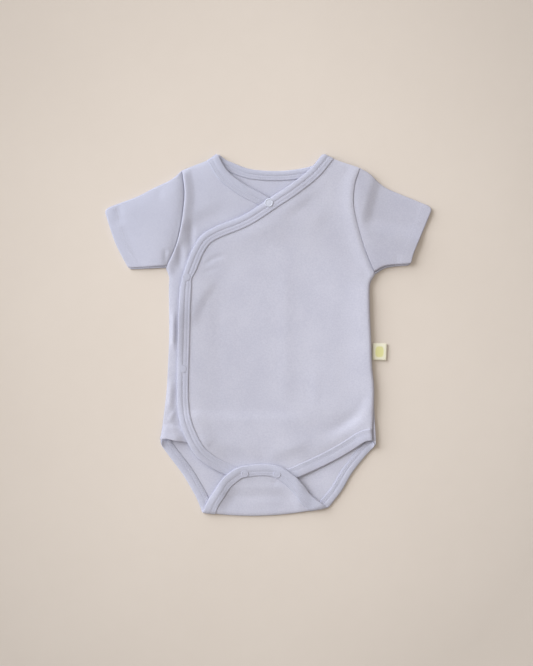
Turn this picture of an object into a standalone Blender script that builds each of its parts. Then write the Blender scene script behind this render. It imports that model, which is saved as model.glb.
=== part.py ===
"""A short-sleeve kimono bodysuit for a baby, laid out flat with its snaps fastened.

The back panel lies on the surface. Its crotch extension folds forward and up, and lies on top as a
flap. The underlap lies on the back, and the wrap lies on the underlap. Bindings fold over the raw
edges, and the sleeves are flattened tubes with open cuffs.

+X is the wearer's left, +Y points to the neck and +Z up from the surface. The origin is on the
surface. Sizes are in millimetres, and become metres as each mesh is made.
"""

import math
from collections import namedtuple

import bmesh
import bpy
import numpy as np
from mathutils import Vector

MM = 0.001

# Cloth: every layer of a stack adds one ply to its height.
CLOTH = 1.0                    # wall of the cotton knit
GAP = 0.3                      # air between pieces that touch
PLY = CLOTH + GAP
HEM_WALL = 2 * CLOTH + GAP     # a turned hem's two layers
PUFF = 0.42                    # plies of slack air between laid panels

# Bindings
BINDING_WIDTH = 12.6
NECK_BINDING_WIDTH = 10.5
BINDING_FOLD = 1.5             # from a binding's folded edge to the raw edge inside it
BINDING_STEP = 7.5             # distance between a binding's sections
BINDING_SLANT = 0.85           # least share of a slanted section that lies square to the edge
BINDING_FACE = CLOTH / 2 + GAP            # from the middle of a panel to its binding
BINDING_BACK = BINDING_FACE + CLOTH       # and to the binding's outside

# Ways that one layer lifts over another
LIFT_REACH = 16.5              # stays up this far from a bound edge
LIFT_FADE = 32.0               # and comes down over this distance
EDGE_FADE = 45.0               # distance over which the wrap settles past the underlap's edge
HEM_FADE = 35.0                # and below its hem
FADE_START = 2.0               # distance past an edge at which the cloth over it starts down

# Crotch fold
FLAP_LEVEL = 5.4               # plies under the flap, over the wrap's bound tab
FOLD_BOTTOM = -190.6           # lowest point of the fold line
FOLD_MIDDLE = -17.0            # where that point is, across the garment
FOLD_BOW = 0.0015              # how fast the fold line rises to each side
FOLD_DEPTH = 4.7               # from the fold line to the middle of its turn
FOLD_LENGTH = 10.8             # cloth in the turn
FOLD_STEPS = 6
FLAP_STRAIGHT = 18.0           # the flap's binding has level sections this far up from the turn
FLAP_ROUNDED = 34.0            # and sections square to its edge from here on

# Hems
HEM_DEPTH = 14.0               # of the underlap
HEM_OVERHANG = 0.8             # how far it reaches below the side seam
HEM_STEP = 0.1                 # slope of a turned hem's raw edge
CUFF_DEPTH = 12.0
HEM_START = 0.99               # where the single cloth ends, beside the cuff's raw edge
UNDERLAP_INNER_X = 12.0        # the underlap's hidden inner edge
TAB_END_Y = -163.0             # end of the wrap's tab, under the flap

# Sleeve thickness, both layers and the air between them
SLEEVE_AT_ARMHOLE = PLY + CLOTH
SLEEVE_THICKNESS = 4.6
CUFF_THICKNESS = 5.4
SLEEVE_RISE = 18.0             # distance over which the sleeve fills out
SLEEVE_SEAM = 0.4              # from the armhole edge to the sleeve
SLEEVE_ROWS = (0.0, 0.18, 0.4, 0.7, 1.0)    # its sections, from the armhole to the top of the hem

Point = namedtuple("Point", "x y")

# Edges of the back, each with the cloth on its left.
BACK_NECK = (
    Point(57.3, 190.4), Point(50.6, 180.1), Point(43.6, 176.6), Point(28.6, 173.6),
    Point(13.4, 172.1), Point(-3.7, 172.3), Point(-21.7, 174.6), Point(-38.7, 181.1),
    Point(-45.4, 184.1), Point(-53.3, 190.4),
)
LEFT_SHOULDER = (Point(-53.3, 190.4), Point(-64.2, 183.0), Point(-79.1, 177.1), Point(-90.9, 172.3))
RIGHT_SHOULDER = (Point(57.3, 190.4), Point(68.8, 184.2), Point(82.5, 179.3), Point(96.0, 175.0))
LEFT_ARMHOLE = (
    Point(-90.9, 172.3), Point(-88.3, 150.0), Point(-89.8, 129.5), Point(-92.9, 110.4),
    Point(-97.8, 92.2), Point(-108.0, 69.9),
)
RIGHT_ARMHOLE = (
    Point(96.0, 175.0), Point(90.8, 158.9), Point(89.0, 141.4), Point(90.8, 125.8),
    Point(96.0, 106.7), Point(102.1, 87.5), Point(112.1, 63.1),
)
LEFT_SIDE = (
    Point(-108.0, 69.9), Point(-104.4, 60.0), Point(-104.7, 47.0), Point(-104.4, 0.0),
    Point(-105.7, -34.0), Point(-107.3, -61.4), Point(-111.9, -99.2), Point(-113.9, -109.5),
)
RIGHT_SIDE = (
    Point(112.1, 63.1), Point(107.4, 55.0), Point(106.3, 45.0), Point(106.8, 18.0),
    Point(107.9, -4.0), Point(109.0, -34.0), Point(110.9, -52.0), Point(110.4, -70.0),
    Point(109.0, -86.0), Point(112.3, -113.0),
)
# The wrap's side seam comes in a little at the leg.
WRAP_SIDE = RIGHT_SIDE[:8] + (Point(109.4, -89.8), Point(107.6, -103.2), Point(106.0, -111.5))

# The back's leg edge as cut: down the left leg, over the fold, round the flap and up the right leg.
# A flap point is given where it lies, folded up.
Leg = namedtuple("Leg", "x y part")
LEG_EDGE = (
    Leg(-113.9, -109.8, "back"), Leg(-112.0, -117.0, "back"), Leg(-105.0, -127.0, "back"),
    Leg(-90.9, -145.8, "back"), Leg(-80.9, -162.5, "back"), Leg(-74.2, -175.2, "back"),
    Leg(-64.2, -174.6, "flap"), Leg(-57.4, -163.9, "flap"), Leg(-50.7, -153.8, "flap"),
    Leg(-44.1, -147.0, "flap"), Leg(-30.6, -138.8, "flap"), Leg(-8.0, -135.9, "flap"),
    Leg(11.0, -138.1, "flap"), Leg(27.2, -148.2, "flap"), Leg(38.6, -160.1, "flap"),
    Leg(46.5, -170.1, "flap"), Leg(74.3, -167.8, "back"), Leg(87.4, -146.1, "back"),
    Leg(101.4, -127.3, "back"), Leg(112.3, -113.2, "back"),
)

# Bound edges of the fronts, each with the cloth on its left.
UNDERLAP_NECK = (
    Point(12.0, 135.5), Point(1.1, 143.3), Point(-10.6, 150.2), Point(-21.8, 157.0),
    Point(-39.0, 168.0), Point(-46.9, 177.7), Point(-53.3, 190.4),
)
WRAP_EDGE = (
    Point(57.3, 190.4), Point(43.6, 174.1), Point(23.5, 158.0), Point(5.5, 146.0),
    Point(-25.4, 126.0), Point(-54.8, 113.8), Point(-69.6, 105.0), Point(-78.9, 92.3),
    Point(-85.8, 76.0), Point(-91.2, 58.1), Point(-93.9, 39.4), Point(-95.5, -16.3),
    Point(-96.5, -45.7), Point(-96.2, -71.2), Point(-93.9, -90.0), Point(-87.3, -108.7),
    Point(-77.6, -125.7), Point(-67.5, -135.1), Point(-57.4, -141.8), Point(-45.0, -147.6),
    Point(-36.5, -152.3), Point(-33.5, TAB_END_Y),
)
WRAP_LEG = (
    Point(17.5, TAB_END_Y), Point(21.5, -154.8), Point(31.3, -150.3), Point(56.1, -139.0),
    Point(76.1, -128.6), Point(89.6, -120.5), Point(106.0, -111.5),
)

# Sleeve edges, from the armhole to the cuff, and each cuff from its top.
Sleeve = namedtuple("Sleeve", "name armhole top underarm cuff outward")
SLEEVES = (
    Sleeve(
        "sleeve_right", LEFT_ARMHOLE,
        (
            Point(-90.9, 172.3), Point(-102.4, 162.6), Point(-120.0, 154.2), Point(-137.0, 145.4),
            Point(-157.0, 137.8), Point(-172.8, 131.8),
        ),
        (Point(-108.0, 69.9), Point(-130.9, 68.9), Point(-146.6, 68.4)),
        (Point(-172.8, 131.8), Point(-161.1, 96.5), Point(-146.6, 68.4)), -1,
    ),
    Sleeve(
        "sleeve_left", RIGHT_ARMHOLE,
        (
            Point(96.0, 175.0), Point(106.5, 168.6), Point(116.0, 159.4), Point(126.0, 152.6),
            Point(150.0, 142.6), Point(172.6, 133.5),
        ),
        (Point(112.1, 63.1), Point(124.5, 70.0), Point(149.1, 72.7)),
        (
            Point(172.6, 133.5), Point(165.4, 116.0), Point(158.2, 99.0), Point(152.4, 85.0),
            Point(149.1, 72.7),
        ), 1,
    ),
)
# Round a sleeve's girth: how far across it lies from its top edge, and how high in its thickness.
Girth = namedtuple("Girth", "across rise")
HALF_GIRTH = (
    Girth(0.0, 0.5), Girth(0.006, 0.86), Girth(0.022, 1.0), Girth(0.16, 1.0), Girth(0.33, 1.0),
    Girth(0.5, 1.0), Girth(0.67, 1.0), Girth(0.84, 1.0), Girth(0.978, 1.0), Girth(0.994, 0.86),
)

# Rows of cloth down each panel: where a stretch starts, and how many rows it has up to the next.
# The back's rows are in its fold coordinate, which is 0 at the start of the crotch turn.
Stretch = namedtuple("Stretch", "start rows")
UNDERLAP_ROWS = (
    Stretch(188.5, 2), Stretch(172.3, 3), Stretch(145.0, 1), Stretch(137.0, 6), Stretch(69.9, 1),
    Stretch(58.0, 4), Stretch(-40.0, 5),
)
WRAP_ROWS = (
    Stretch(188.0, 2), Stretch(175.0, 3), Stretch(162.0, 13), Stretch(108.0, 3), Stretch(88.0, 3),
    Stretch(63.1, 1), Stretch(55.0, 5), Stretch(-50.0, 4), Stretch(-105.0, 9), Stretch(-145.0, 5),
)
BACK_ROWS = (Stretch(322.0, 7), Stretch(230.0, 2), Stretch(100.0, 5), Stretch(21.0, 2))
FLAP_ROWS = (Stretch(0.0, 3), Stretch(-24.0, 3))    # from the end of the turn
FLAP_TIP = 3.0                 # depth of the flap's last row, at its rounded top
FLAP_TIP_END = 0.2             # where it stops short of the top, so that it has a width
SHOULDER_ROWS = 4
UNDERLAP_COLUMNS = 8
WRAP_COLUMNS = 12
COLUMN_CROWDING = 0.86         # 0 spaces a front's columns evenly, 1 crowds them at its sides

# Where the back's columns of cloth start, along its shoulders and neck
BACK_COLUMNS = (
    -90.9, -79.0, -67.0, -56.0, -50.5, -43.0, -33.0, -20.0, 2.0, 22.0, 34.0, 42.5, 49.0, 54.0, 59.0,
    69.0, 82.0, 96.0,
)

# Snaps, with the panel whose binding each cap sits on.
Snap = namedtuple("Snap", "name x y radius panel")
SNAPS = (
    Snap("snap_neck", 0.5, 138.1, 4.7, "wrap"),
    Snap("snap_side_upper", -86.1, 60.5, 4.2, "wrap"),
    Snap("snap_side_lower", -90.3, -36.2, 4.2, "wrap"),
    Snap("snap_crotch_right", -24.7, -146.0, 4.2, "flap"),
    Snap("snap_crotch_left", 8.9, -146.8, 4.2, "flap"),
)
Turn = namedtuple("Turn", "radius height")
SNAP_PROFILE = (Turn(1.0, 0.0), Turn(1.0, 0.6), Turn(0.86, 1.1), Turn(0.5, 1.4))
SNAP_SIDES = 10

# Label tab, folded at its outer end
LABEL_SEAM_X = 109.2
LABEL_END_X = 124.2
LABEL_MIDDLE_Y = -17.9
LABEL_WIDTH = 17.6

Finish = namedtuple("Finish", "name colour roughness")
KNIT = Finish("cotton_knit", (0.56, 0.56, 0.66), 0.9)
RIB = Finish("rib_binding", (0.58, 0.58, 0.67), 0.88)
CAP = Finish("snap_cap", (0.57, 0.59, 0.68), 0.45)
RIBBON = Finish("label_ribbon", (0.80, 0.78, 0.68), 0.7)


class Line:
    """A smooth line through a few points of a plan, which can be walked by its length."""

    def __init__(self, points, pieces=6):
        knots = np.array([(point.x, point.y) for point in points], float)
        ends = np.vstack([2 * knots[0] - knots[1], knots, 2 * knots[-1] - knots[-2]])
        steps = np.linspace(0.0, 1.0, pieces, endpoint=False)[:, None]
        spans = [
            self.span(ends[i:i + 4], steps) for i in range(len(knots) - 1)
        ]
        self.points = np.vstack(spans + [knots[-1:]])
        lengths = np.linalg.norm(np.diff(self.points, axis=0), axis=1)
        self.walked = np.concatenate([[0.0], np.cumsum(lengths)])
        self.length = self.walked[-1]

    @staticmethod
    def span(knots, steps):
        """Catmull-Rom points from the second of four knots towards the third."""
        before, start, end, after = knots
        return 0.5 * (
            2 * start + (end - before) * steps
            + (2 * before - 5 * start + 4 * end - after) * steps ** 2
            + (3 * start - before - 3 * end + after) * steps ** 3
        )

    def at(self, walked):
        """The point that lies this far along."""
        return np.array([np.interp(walked, self.walked, self.points[:, i]) for i in (0, 1)])

    def inward(self, walked):
        """The unit direction into the cloth, which is on the line's left."""
        ahead = self.at(min(walked + 1.0, self.length)) - self.at(max(walked - 1.0, 0.0))
        return np.array([-ahead[1], ahead[0]]) / np.linalg.norm(ahead)

    def inset(self, depth):
        """The points of a line this far inside."""
        return np.array([
            self.at(walked) + depth * self.inward(walked) for walked in self.walked
        ])

    def nearest(self, x, y):
        """How far along the line its nearest place to a point is, and how far away."""
        start, run = self.points[:-1], np.diff(self.points, axis=0)
        gap = np.array([x, y]) - start
        along = np.clip((gap * run).sum(1) / (run * run).sum(1), 0.0, 1.0)
        away = np.linalg.norm(gap - run * along[:, None], axis=1)
        best = int(away.argmin())
        return self.walked[best] + along[best] * np.linalg.norm(run[best]), float(away[best])

    def distance(self, x, y):
        """The shortest way from a point to the line."""
        return self.nearest(x, y)[1]


def x_at(y, *edges):
    """Where a chain of edges, run from the top down, crosses a height."""
    chain = np.vstack(edges)
    return float(np.interp(-y, -chain[:, 1], chain[:, 0]))


def ramp(value, low, high):
    """A smooth step from 0 at low to 1 at high."""
    step = min(max((value - low) / (high - low), 0.0), 1.0)
    return step * step * (3 - 2 * step)


def near(distance):
    """1 beside a bound edge, and 0 past where its lift has come down."""
    return 1 - ramp(distance, LIFT_REACH, LIFT_REACH + LIFT_FADE)


def spread(share):
    """Spaces columns finely at both edges of a panel and widely in its middle."""
    turn = COLUMN_CROWDING * math.pi
    return 0.5 - 0.5 * math.sin((0.5 - share) * turn) / math.sin(0.5 * turn)


# The crotch fold. A fold coordinate runs down the back from its fold line at 0, round the turn,
# and on along the flap.

def fold_middle(x):
    """The height of the middle of the turn."""
    return FOLD_BOTTOM + FOLD_BOW * (x - FOLD_MIDDLE) ** 2 + FOLD_DEPTH


def unfold(point):
    """A point of the back or of the flap in the fold coordinate."""
    height = point.y - fold_middle(point.x)
    return Point(point.x, height if point.part == "back" else -FOLD_LENGTH - height)


back_neck = Line(BACK_NECK)
leg_edge = Line([unfold(point) for point in LEG_EDGE])
underlap_neck = Line(UNDERLAP_NECK)
wrap_edge = Line(WRAP_EDGE)
wrap_leg = Line(WRAP_LEG)
left_shoulder, right_shoulder = Line(LEFT_SHOULDER), Line(RIGHT_SHOULDER)
left_armhole, right_armhole = Line(LEFT_ARMHOLE), Line(RIGHT_ARMHOLE)
left_side, right_side, wrap_side = Line(LEFT_SIDE), Line(RIGHT_SIDE), Line(WRAP_SIDE)


# Levels: how many plies lie under a panel at a point.

def back_level(x, y):
    """The back lies on the surface, and on its bindings at the neck and the legs."""
    return max(near(back_neck.distance(x, y)), near(leg_edge.distance(x, y - fold_middle(x))))


def seam_puff(x, y, seams):
    """Slack air under a front panel, which its seams press flat."""
    return PUFF * ramp(min(seam.distance(x, y) for seam in seams), 0.0, LIFT_REACH)


def underlap_level(x, y):
    """The underlap lies on the back and its bindings, and on its own neck binding."""
    puff = seam_puff(x, y, (left_shoulder, left_armhole, left_side))
    return 2 * back_level(x, y) + 1 + puff + near(underlap_neck.distance(x, y))


def underlap_top(x, y):
    """The highest ply of the underlap, its binding and its hem, and of the back past its edges."""
    hem_bottom = left_side.points[-1][1]
    hem_top = hem_bottom + HEM_DEPTH + 2 * FADE_START
    hem = 1 - ramp(y, hem_top, hem_top + HEM_DEPTH)
    top = underlap_level(x, y) + near(underlap_neck.distance(x, y)) + hem
    past_hem = ramp(hem_bottom - y, FADE_START, FADE_START + HEM_FADE)
    past_inner_edge = ramp(x - UNDERLAP_INNER_X, FADE_START, FADE_START + EDGE_FADE)
    return top + (2 * back_level(x, y) - top) * max(past_hem, past_inner_edge)


def under_wrap(x, y):
    """The wrap lies on the underlap, and past its edges on the back."""
    puff = seam_puff(x, y, (right_shoulder, right_armhole, wrap_side))
    return underlap_top(x, y) + 1 + puff * ramp(y, TAB_END_Y, TAB_END_Y + EDGE_FADE)


def wrap_level(x, y):
    """The wrap is flat across its bound edges and a ply up there, for their bindings."""
    edge = min((wrap_edge, wrap_leg), key=lambda line: line.distance(x, y))
    walked, distance = edge.nearest(x, y)
    middle = edge.at(walked) + edge.inward(walked) * BINDING_WIDTH / 2
    flat = 1 - ramp(distance, LIFT_REACH, 2 * LIFT_REACH)
    level = under_wrap(x, y)
    return level + (under_wrap(*middle) - level) * flat + near(distance)


# Places: a point at a height above the middle of a panel's wall, on the side that shows outside.

def on_underlap(x, y, height):
    """A place on the underlap."""
    return Vector((x, y, PLY * underlap_level(x, y) + CLOTH / 2 + height))


def on_wrap(x, y, height):
    """A place on the wrap."""
    return Vector((x, y, PLY * wrap_level(x, y) + CLOTH / 2 + height))


def on_back(x, y, height):
    """A place on the back, whose outside lies down."""
    return Vector((x, y, PLY * back_level(x, y) + CLOTH / 2 - height))


def on_folded_back(x, fold, height):
    """A place on the back, on its crotch turn or on the flap, by the fold coordinate."""
    middle = fold_middle(x)
    lower = PLY * back_level(x, middle + max(fold, 0.0)) + CLOTH / 2
    upper = PLY * FLAP_LEVEL + CLOTH / 2
    if fold >= 0:
        return Vector((x, middle + fold, lower - height))
    if fold <= -FOLD_LENGTH:
        return Vector((x, middle - FOLD_LENGTH - fold, upper + height))
    turn = -fold / FOLD_LENGTH * math.pi
    radius = (upper - lower) / 2 + height
    centre = (upper + lower) / 2
    return Vector((x, middle - radius * math.sin(turn), centre - radius * math.cos(turn)))


# Mesh making

def finish_object(name, mesh, finish):
    """Makes the named object of a bmesh, with its material."""
    bmesh.ops.recalc_face_normals(mesh, faces=mesh.faces)
    data = bpy.data.meshes.new(name)
    mesh.to_mesh(data)
    mesh.free()
    data.shade_smooth()
    data.set_sharp_from_angle(angle=math.radians(40))
    data.materials.append(material(finish))
    item = bpy.data.objects.new(name, data)
    bpy.context.scene.collection.objects.link(item)
    return item


def material(finish):
    """The finish's material, made once."""
    made = bpy.data.materials.get(finish.name)
    if made:
        return made
    made = bpy.data.materials.new(finish.name)
    made.use_nodes = True
    shader = made.node_tree.nodes["Principled BSDF"]
    shader.inputs["Base Color"].default_value = (*finish.colour, 1.0)
    shader.inputs["Roughness"].default_value = finish.roughness
    shader.inputs["Metallic"].default_value = 0.0
    return made


def cloth_wall(name, columns, rows, outer, inner, finish=KNIT):
    """A closed wall of cloth: a grid and its copy, extruded from it, placed on two faces."""
    mesh = bmesh.new()
    bmesh.ops.create_grid(mesh, x_segments=columns, y_segments=rows, size=0.5)
    skins = {outer: mesh.verts[:]}
    copy = bmesh.ops.extrude_face_region(mesh, geom=mesh.faces[:], use_keep_orig=True)
    skins[inner] = [item for item in copy["geom"] if isinstance(item, bmesh.types.BMVert)]
    for place, vertices in skins.items():
        for vertex in vertices:
            column = round((vertex.co.x + 0.5) * columns)
            row = round((0.5 - vertex.co.y) * rows)
            vertex.co = place(column, row) * MM
    return finish_object(name, mesh, finish)


def loft(name, rings, finish, closed=False):
    """A body through rings of points, each extruded on from the last."""
    mesh = bmesh.new()
    first = mesh.faces.new([mesh.verts.new(point * MM) for point in rings[0]])
    last = first
    for ring in rings[1:] + (rings[:1] if closed else []):
        extruded = bmesh.ops.extrude_face_region(mesh, geom=[last], use_keep_orig=True)
        if last is not first:
            mesh.faces.remove(last)
        last = next(item for item in extruded["geom"] if isinstance(item, bmesh.types.BMFace))
        for vertex, point in zip(last.verts, ring):
            vertex.co = point * MM
    if closed:
        bmesh.ops.delete(mesh, geom=[first, last], context="FACES_ONLY")
        bmesh.ops.remove_doubles(mesh, verts=mesh.verts[:], dist=GAP / 10 * MM)
    return finish_object(name, mesh, finish)


# Panels

def panel(name, rows, edges, level_place, columns, hem=None):
    """A front panel in rows from side to side, between its left and right edges.

    Where it has a hem, hem gives the hem's extra height at a row.
    """
    left, right = edges

    def place(column, row, top):
        y = rows[row]
        x = np.interp(spread(column / columns), (0, 1), (x_at(y, *left), x_at(y, *right)))
        extra = hem(y) if hem and top else 0.0
        return level_place(x, y, CLOTH / 2 + extra if top else -CLOTH / 2)

    return cloth_wall(
        name, columns, len(rows) - 1,
        lambda column, row: place(column, row, True),
        lambda column, row: place(column, row, False),
    )


def row_heights(stretches, end):
    """The heights of all rows of a table of stretches, and of the last row at the end."""
    starts = [stretch.start for stretch in stretches] + [end]
    heights = []
    for stretch, following in zip(stretches, starts[1:]):
        heights += list(np.linspace(stretch.start, following, stretch.rows, endpoint=False))
    return heights + [end]


def make_underlap():
    """The front under the wrap, with a turned hem along its leg edge."""
    hem_bottom = left_side.points[-1][1] - HEM_OVERHANG
    hem_top = hem_bottom + HEM_DEPTH
    neck = underlap_neck.inset(BINDING_FOLD)[::-1]
    inner_edge = np.array([(UNDERLAP_INNER_X, neck[-1][1] - 1), (UNDERLAP_INNER_X, hem_bottom)])
    hem_rows = (Stretch(hem_top + HEM_STEP, 1), Stretch(hem_top, 2))
    rows = row_heights(UNDERLAP_ROWS + hem_rows, hem_bottom)
    outline = (left_shoulder.points, left_armhole.points[1:], left_side.points[1:])
    return panel(
        "front_underlap", rows, (outline, (neck, inner_edge)), on_underlap, UNDERLAP_COLUMNS,
        hem=lambda y: PLY if y <= hem_top else 0.0,
    )


def make_wrap():
    """The front that crosses over, from its side seam to its bound edge, with the crotch tab."""
    bound = wrap_edge.inset(BINDING_FOLD)
    leg = wrap_leg.inset(BINDING_FOLD)[::-1]
    outline = (right_shoulder.points, right_armhole.points[1:], wrap_side.points[1:-2], leg)
    rows = row_heights(WRAP_ROWS, TAB_END_Y)
    return panel("front_wrap", rows, ((bound,), outline), on_wrap, WRAP_COLUMNS)


def make_back():
    """The back with its crotch extension, folded up as the flap."""
    inset = leg_edge.inset(BINDING_FOLD)
    turning = int(inset[:, 1].argmin())
    left_leg, right_leg = inset[:turning + 1], inset[turning:][::-1]

    def unfolded(line):
        return np.array([(x, y - fold_middle(x)) for x, y in line.points])

    left = (unfolded(left_armhole), unfolded(left_side)[1:], left_leg[2:])
    right = (unfolded(right_armhole), unfolded(right_side)[1:], right_leg[2:])
    neck = back_neck.inset(BINDING_FOLD)[::-1]
    top = np.vstack([left_shoulder.points[:0:-1], neck, right_shoulder.points[1:]])
    flap_end = inset[turning][1]
    flap_rows = [Stretch(start - FOLD_LENGTH, rows) for start, rows in FLAP_ROWS]
    turned = [Stretch(0.0, FOLD_STEPS)] + flap_rows + [Stretch(flap_end + FLAP_TIP, 1)]
    folds = row_heights(list(BACK_ROWS) + turned, flap_end + FLAP_TIP_END)
    shares = [(x - BACK_COLUMNS[0]) / (BACK_COLUMNS[-1] - BACK_COLUMNS[0]) for x in BACK_COLUMNS]

    def place(column, row, height):
        fold = folds[max(row - SHOULDER_ROWS, 0)]
        if row >= SHOULDER_ROWS:
            x = np.interp(shares[column], (0, 1), (x_at(fold, *left), x_at(fold, *right)))
            return on_folded_back(x, fold, height)
        rise = 1 - row / SHOULDER_ROWS
        ends = []
        for armhole in (left_armhole.points, right_armhole.points):
            low = fold_middle(armhole[0][0]) + fold
            ends.append(x_at(low + (armhole[0][1] - low) * rise, armhole))
        x = np.interp(shares[column], (0, 1), ends)
        low = fold_middle(x) + fold
        high = np.interp(BACK_COLUMNS[column], top[:, 0], top[:, 1])
        return on_back(x, low + (high - low) * rise, height)

    return cloth_wall(
        "back_panel", len(shares) - 1, SHOULDER_ROWS + len(folds) - 1,
        lambda column, row: place(column, row, CLOTH / 2),
        lambda column, row: place(column, row, -CLOTH / 2),
    )


# Bindings

def binding_ring(edge, section, width, place):
    """A binding's U section, from its front face round the raw edge to its back face."""
    reach = np.array(section)
    outside, inside = BINDING_BACK, BINDING_FACE
    profile = (
        (width, outside), (0.0, outside), (0.0, -outside), (width, -outside),
        (width, -inside), (CLOTH, -inside), (CLOTH, inside), (width, inside),
    )
    return [place(*(edge + reach * depth), height) for depth, height in profile]


def binding(name, line, place, width=BINDING_WIDTH):
    """A strip folded over a front or neck edge, in sections square to it."""
    count = round(line.length / BINDING_STEP)
    walks = np.linspace(0.0, line.length, count + 1)
    rings = [
        binding_ring(line.at(walked), line.inward(walked), width, place) for walked in walks
    ]
    return loft(name, rings, RIB)


def make_leg_binding():
    """The strip round both leg edges of the back, over the crotch fold and round the flap."""
    walks = [0.0]
    while walks[-1] < leg_edge.length:
        in_turn = -FOLD_LENGTH - FADE_START < leg_edge.at(walks[-1])[1] < FADE_START
        step = FOLD_LENGTH / FOLD_STEPS if in_turn else BINDING_STEP
        walks.append(min(walks[-1] + step, leg_edge.length))
    rings = []
    for walked in walks:
        edge, square = leg_edge.at(walked), leg_edge.inward(walked)
        across = np.array([1.0 if edge[0] < FOLD_MIDDLE else -1.0, 0.0])
        rounding = ramp(-edge[1] - FOLD_LENGTH, FLAP_STRAIGHT, FLAP_ROUNDED)
        section = across + (square - across) * rounding
        section = section / max(section @ square, BINDING_SLANT)
        rings.append(binding_ring(edge, section, BINDING_WIDTH, on_folded_back))
    return loft("leg_binding", rings, RIB)


# Sleeves, snaps and label

def make_sleeve(sleeve):
    """A set-in sleeve: one piece round its girth, flattened, with a turned hem at the cuff."""
    armhole, cuff = Line(sleeve.armhole), Line(sleeve.cuff)
    top, underarm = Line(sleeve.top), Line(sleeve.underarm)
    seam = np.array([sleeve.outward * SLEEVE_SEAM, 0.0])

    def plan(along, across):
        """A point between the four edges, from the armhole to the cuff and from top to underarm."""
        ends = (1 - along) * (armhole.at(across * armhole.length) + seam)
        ends += along * cuff.at(across * cuff.length)
        sides = (1 - across) * (top.at(along * top.length) + (1 - along) * seam)
        sides += across * (underarm.at(along * underarm.length) + (1 - along) * seam)
        corners = (1 - along) * ((1 - across) * (top.at(0) + seam) + across * (underarm.at(0) + seam))
        corners += along * ((1 - across) * cuff.at(0) + across * cuff.at(cuff.length))
        return ends + sides - corners

    def thickness(along, length):
        filled = ramp(along * length, 0.0, SLEEVE_RISE)
        full = SLEEVE_THICKNESS + (CUFF_THICKNESS - SLEEVE_THICKNESS) * along
        return SLEEVE_AT_ARMHOLE + (full - SLEEVE_AT_ARMHOLE) * filled

    upper = HALF_GIRTH
    lower = tuple(Girth(1 - across, 1 - rise) for across, rise in HALF_GIRTH)
    rings = []
    for across, rise in upper + lower:
        length = float(np.linalg.norm(plan(1, across) - plan(0, across)))
        hem = 1 - CUFF_DEPTH / length
        outside = [hem * share for share in SLEEVE_ROWS] + [1.0]
        inside = [(1.0, HEM_WALL), (hem, HEM_WALL), (hem * HEM_START, CLOTH)]
        inside += [(hem * share, CLOTH) for share in SLEEVE_ROWS[-2::-1]]
        ring = []
        for along in outside:
            ring.append(Vector((*plan(along, across), rise * thickness(along, length))))
        for along, wall in inside:
            width = float(np.linalg.norm(plan(along, 1) - plan(along, 0)))
            inner = min(max(across, wall / width), 1 - wall / width)
            height = wall + rise * (thickness(along, length) - 2 * wall)
            ring.append(Vector((*plan(along, inner), height)))
        rings.append(ring)
    return loft(sleeve.name, rings, KNIT, closed=True)


def make_snap(snap):
    """A snap's round cap, on the binding that it fastens."""
    angles = np.linspace(0.0, 2 * math.pi, SNAP_SIDES, endpoint=False)
    rings = []
    for turn in SNAP_PROFILE:
        reach = turn.radius * snap.radius
        height = BINDING_BACK + GAP + turn.height
        ring = []
        for angle in angles:
            x, y = snap.x + reach * math.cos(angle), snap.y + reach * math.sin(angle)
            if snap.panel == "flap":
                ring.append(on_folded_back(x, *unfold(Leg(x, y, "flap"))[1:], height))
            else:
                ring.append(on_wrap(x, y, height))
        rings.append(ring)
    return loft(snap.name, rings, CAP)


def make_label():
    """A short ribbon folded in two, with its ends in the side seam."""
    profile = (
        Point(LABEL_SEAM_X, 0.0), Point(LABEL_END_X, 0.0),
        Point(LABEL_END_X, PLY + CLOTH), Point(LABEL_SEAM_X, PLY + CLOTH),
        Point(LABEL_SEAM_X, PLY), Point(LABEL_END_X - CLOTH, PLY),
        Point(LABEL_END_X - CLOTH, CLOTH), Point(LABEL_SEAM_X, CLOTH),
    )
    rings = [
        [Vector((x, LABEL_MIDDLE_Y + side * LABEL_WIDTH / 2, z)) for x, z in profile]
        for side in (-1, 1)
    ]
    return loft("side_label", rings, RIBBON)


def main():
    for item in list(bpy.data.objects):
        bpy.data.objects.remove(item)
    make_back()
    make_underlap()
    make_wrap()
    for sleeve in SLEEVES:
        make_sleeve(sleeve)
    binding("neck_binding_back", back_neck, on_back, NECK_BINDING_WIDTH)
    binding("neck_binding_underlap", underlap_neck, on_underlap)
    binding("wrap_binding", wrap_edge, on_wrap)
    binding("wrap_leg_binding", wrap_leg, on_wrap)
    make_leg_binding()
    for snap in SNAPS:
        make_snap(snap)
    make_label()


main()
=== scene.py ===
"""Looks of a short-sleeve wrap bodysuit for a baby, laid out flat with its snaps fastened.

Every piece of cloth is a thin closed shell in the place of its CAD solid. Its edges are finer than
the solid's and its layers thinner, so the two differ by a few millimetres. Plan sizes are in
millimetres and become metres as a mesh is made. +X is the wearer's left, +Y points to the neck and
+Z up from the surface.
"""

import logging
import math
from collections.abc import Callable, Sequence
from dataclasses import dataclass, field, replace
from enum import Enum

import bmesh
import bpy
import numpy as np
from mathutils import Matrix, Vector


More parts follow.
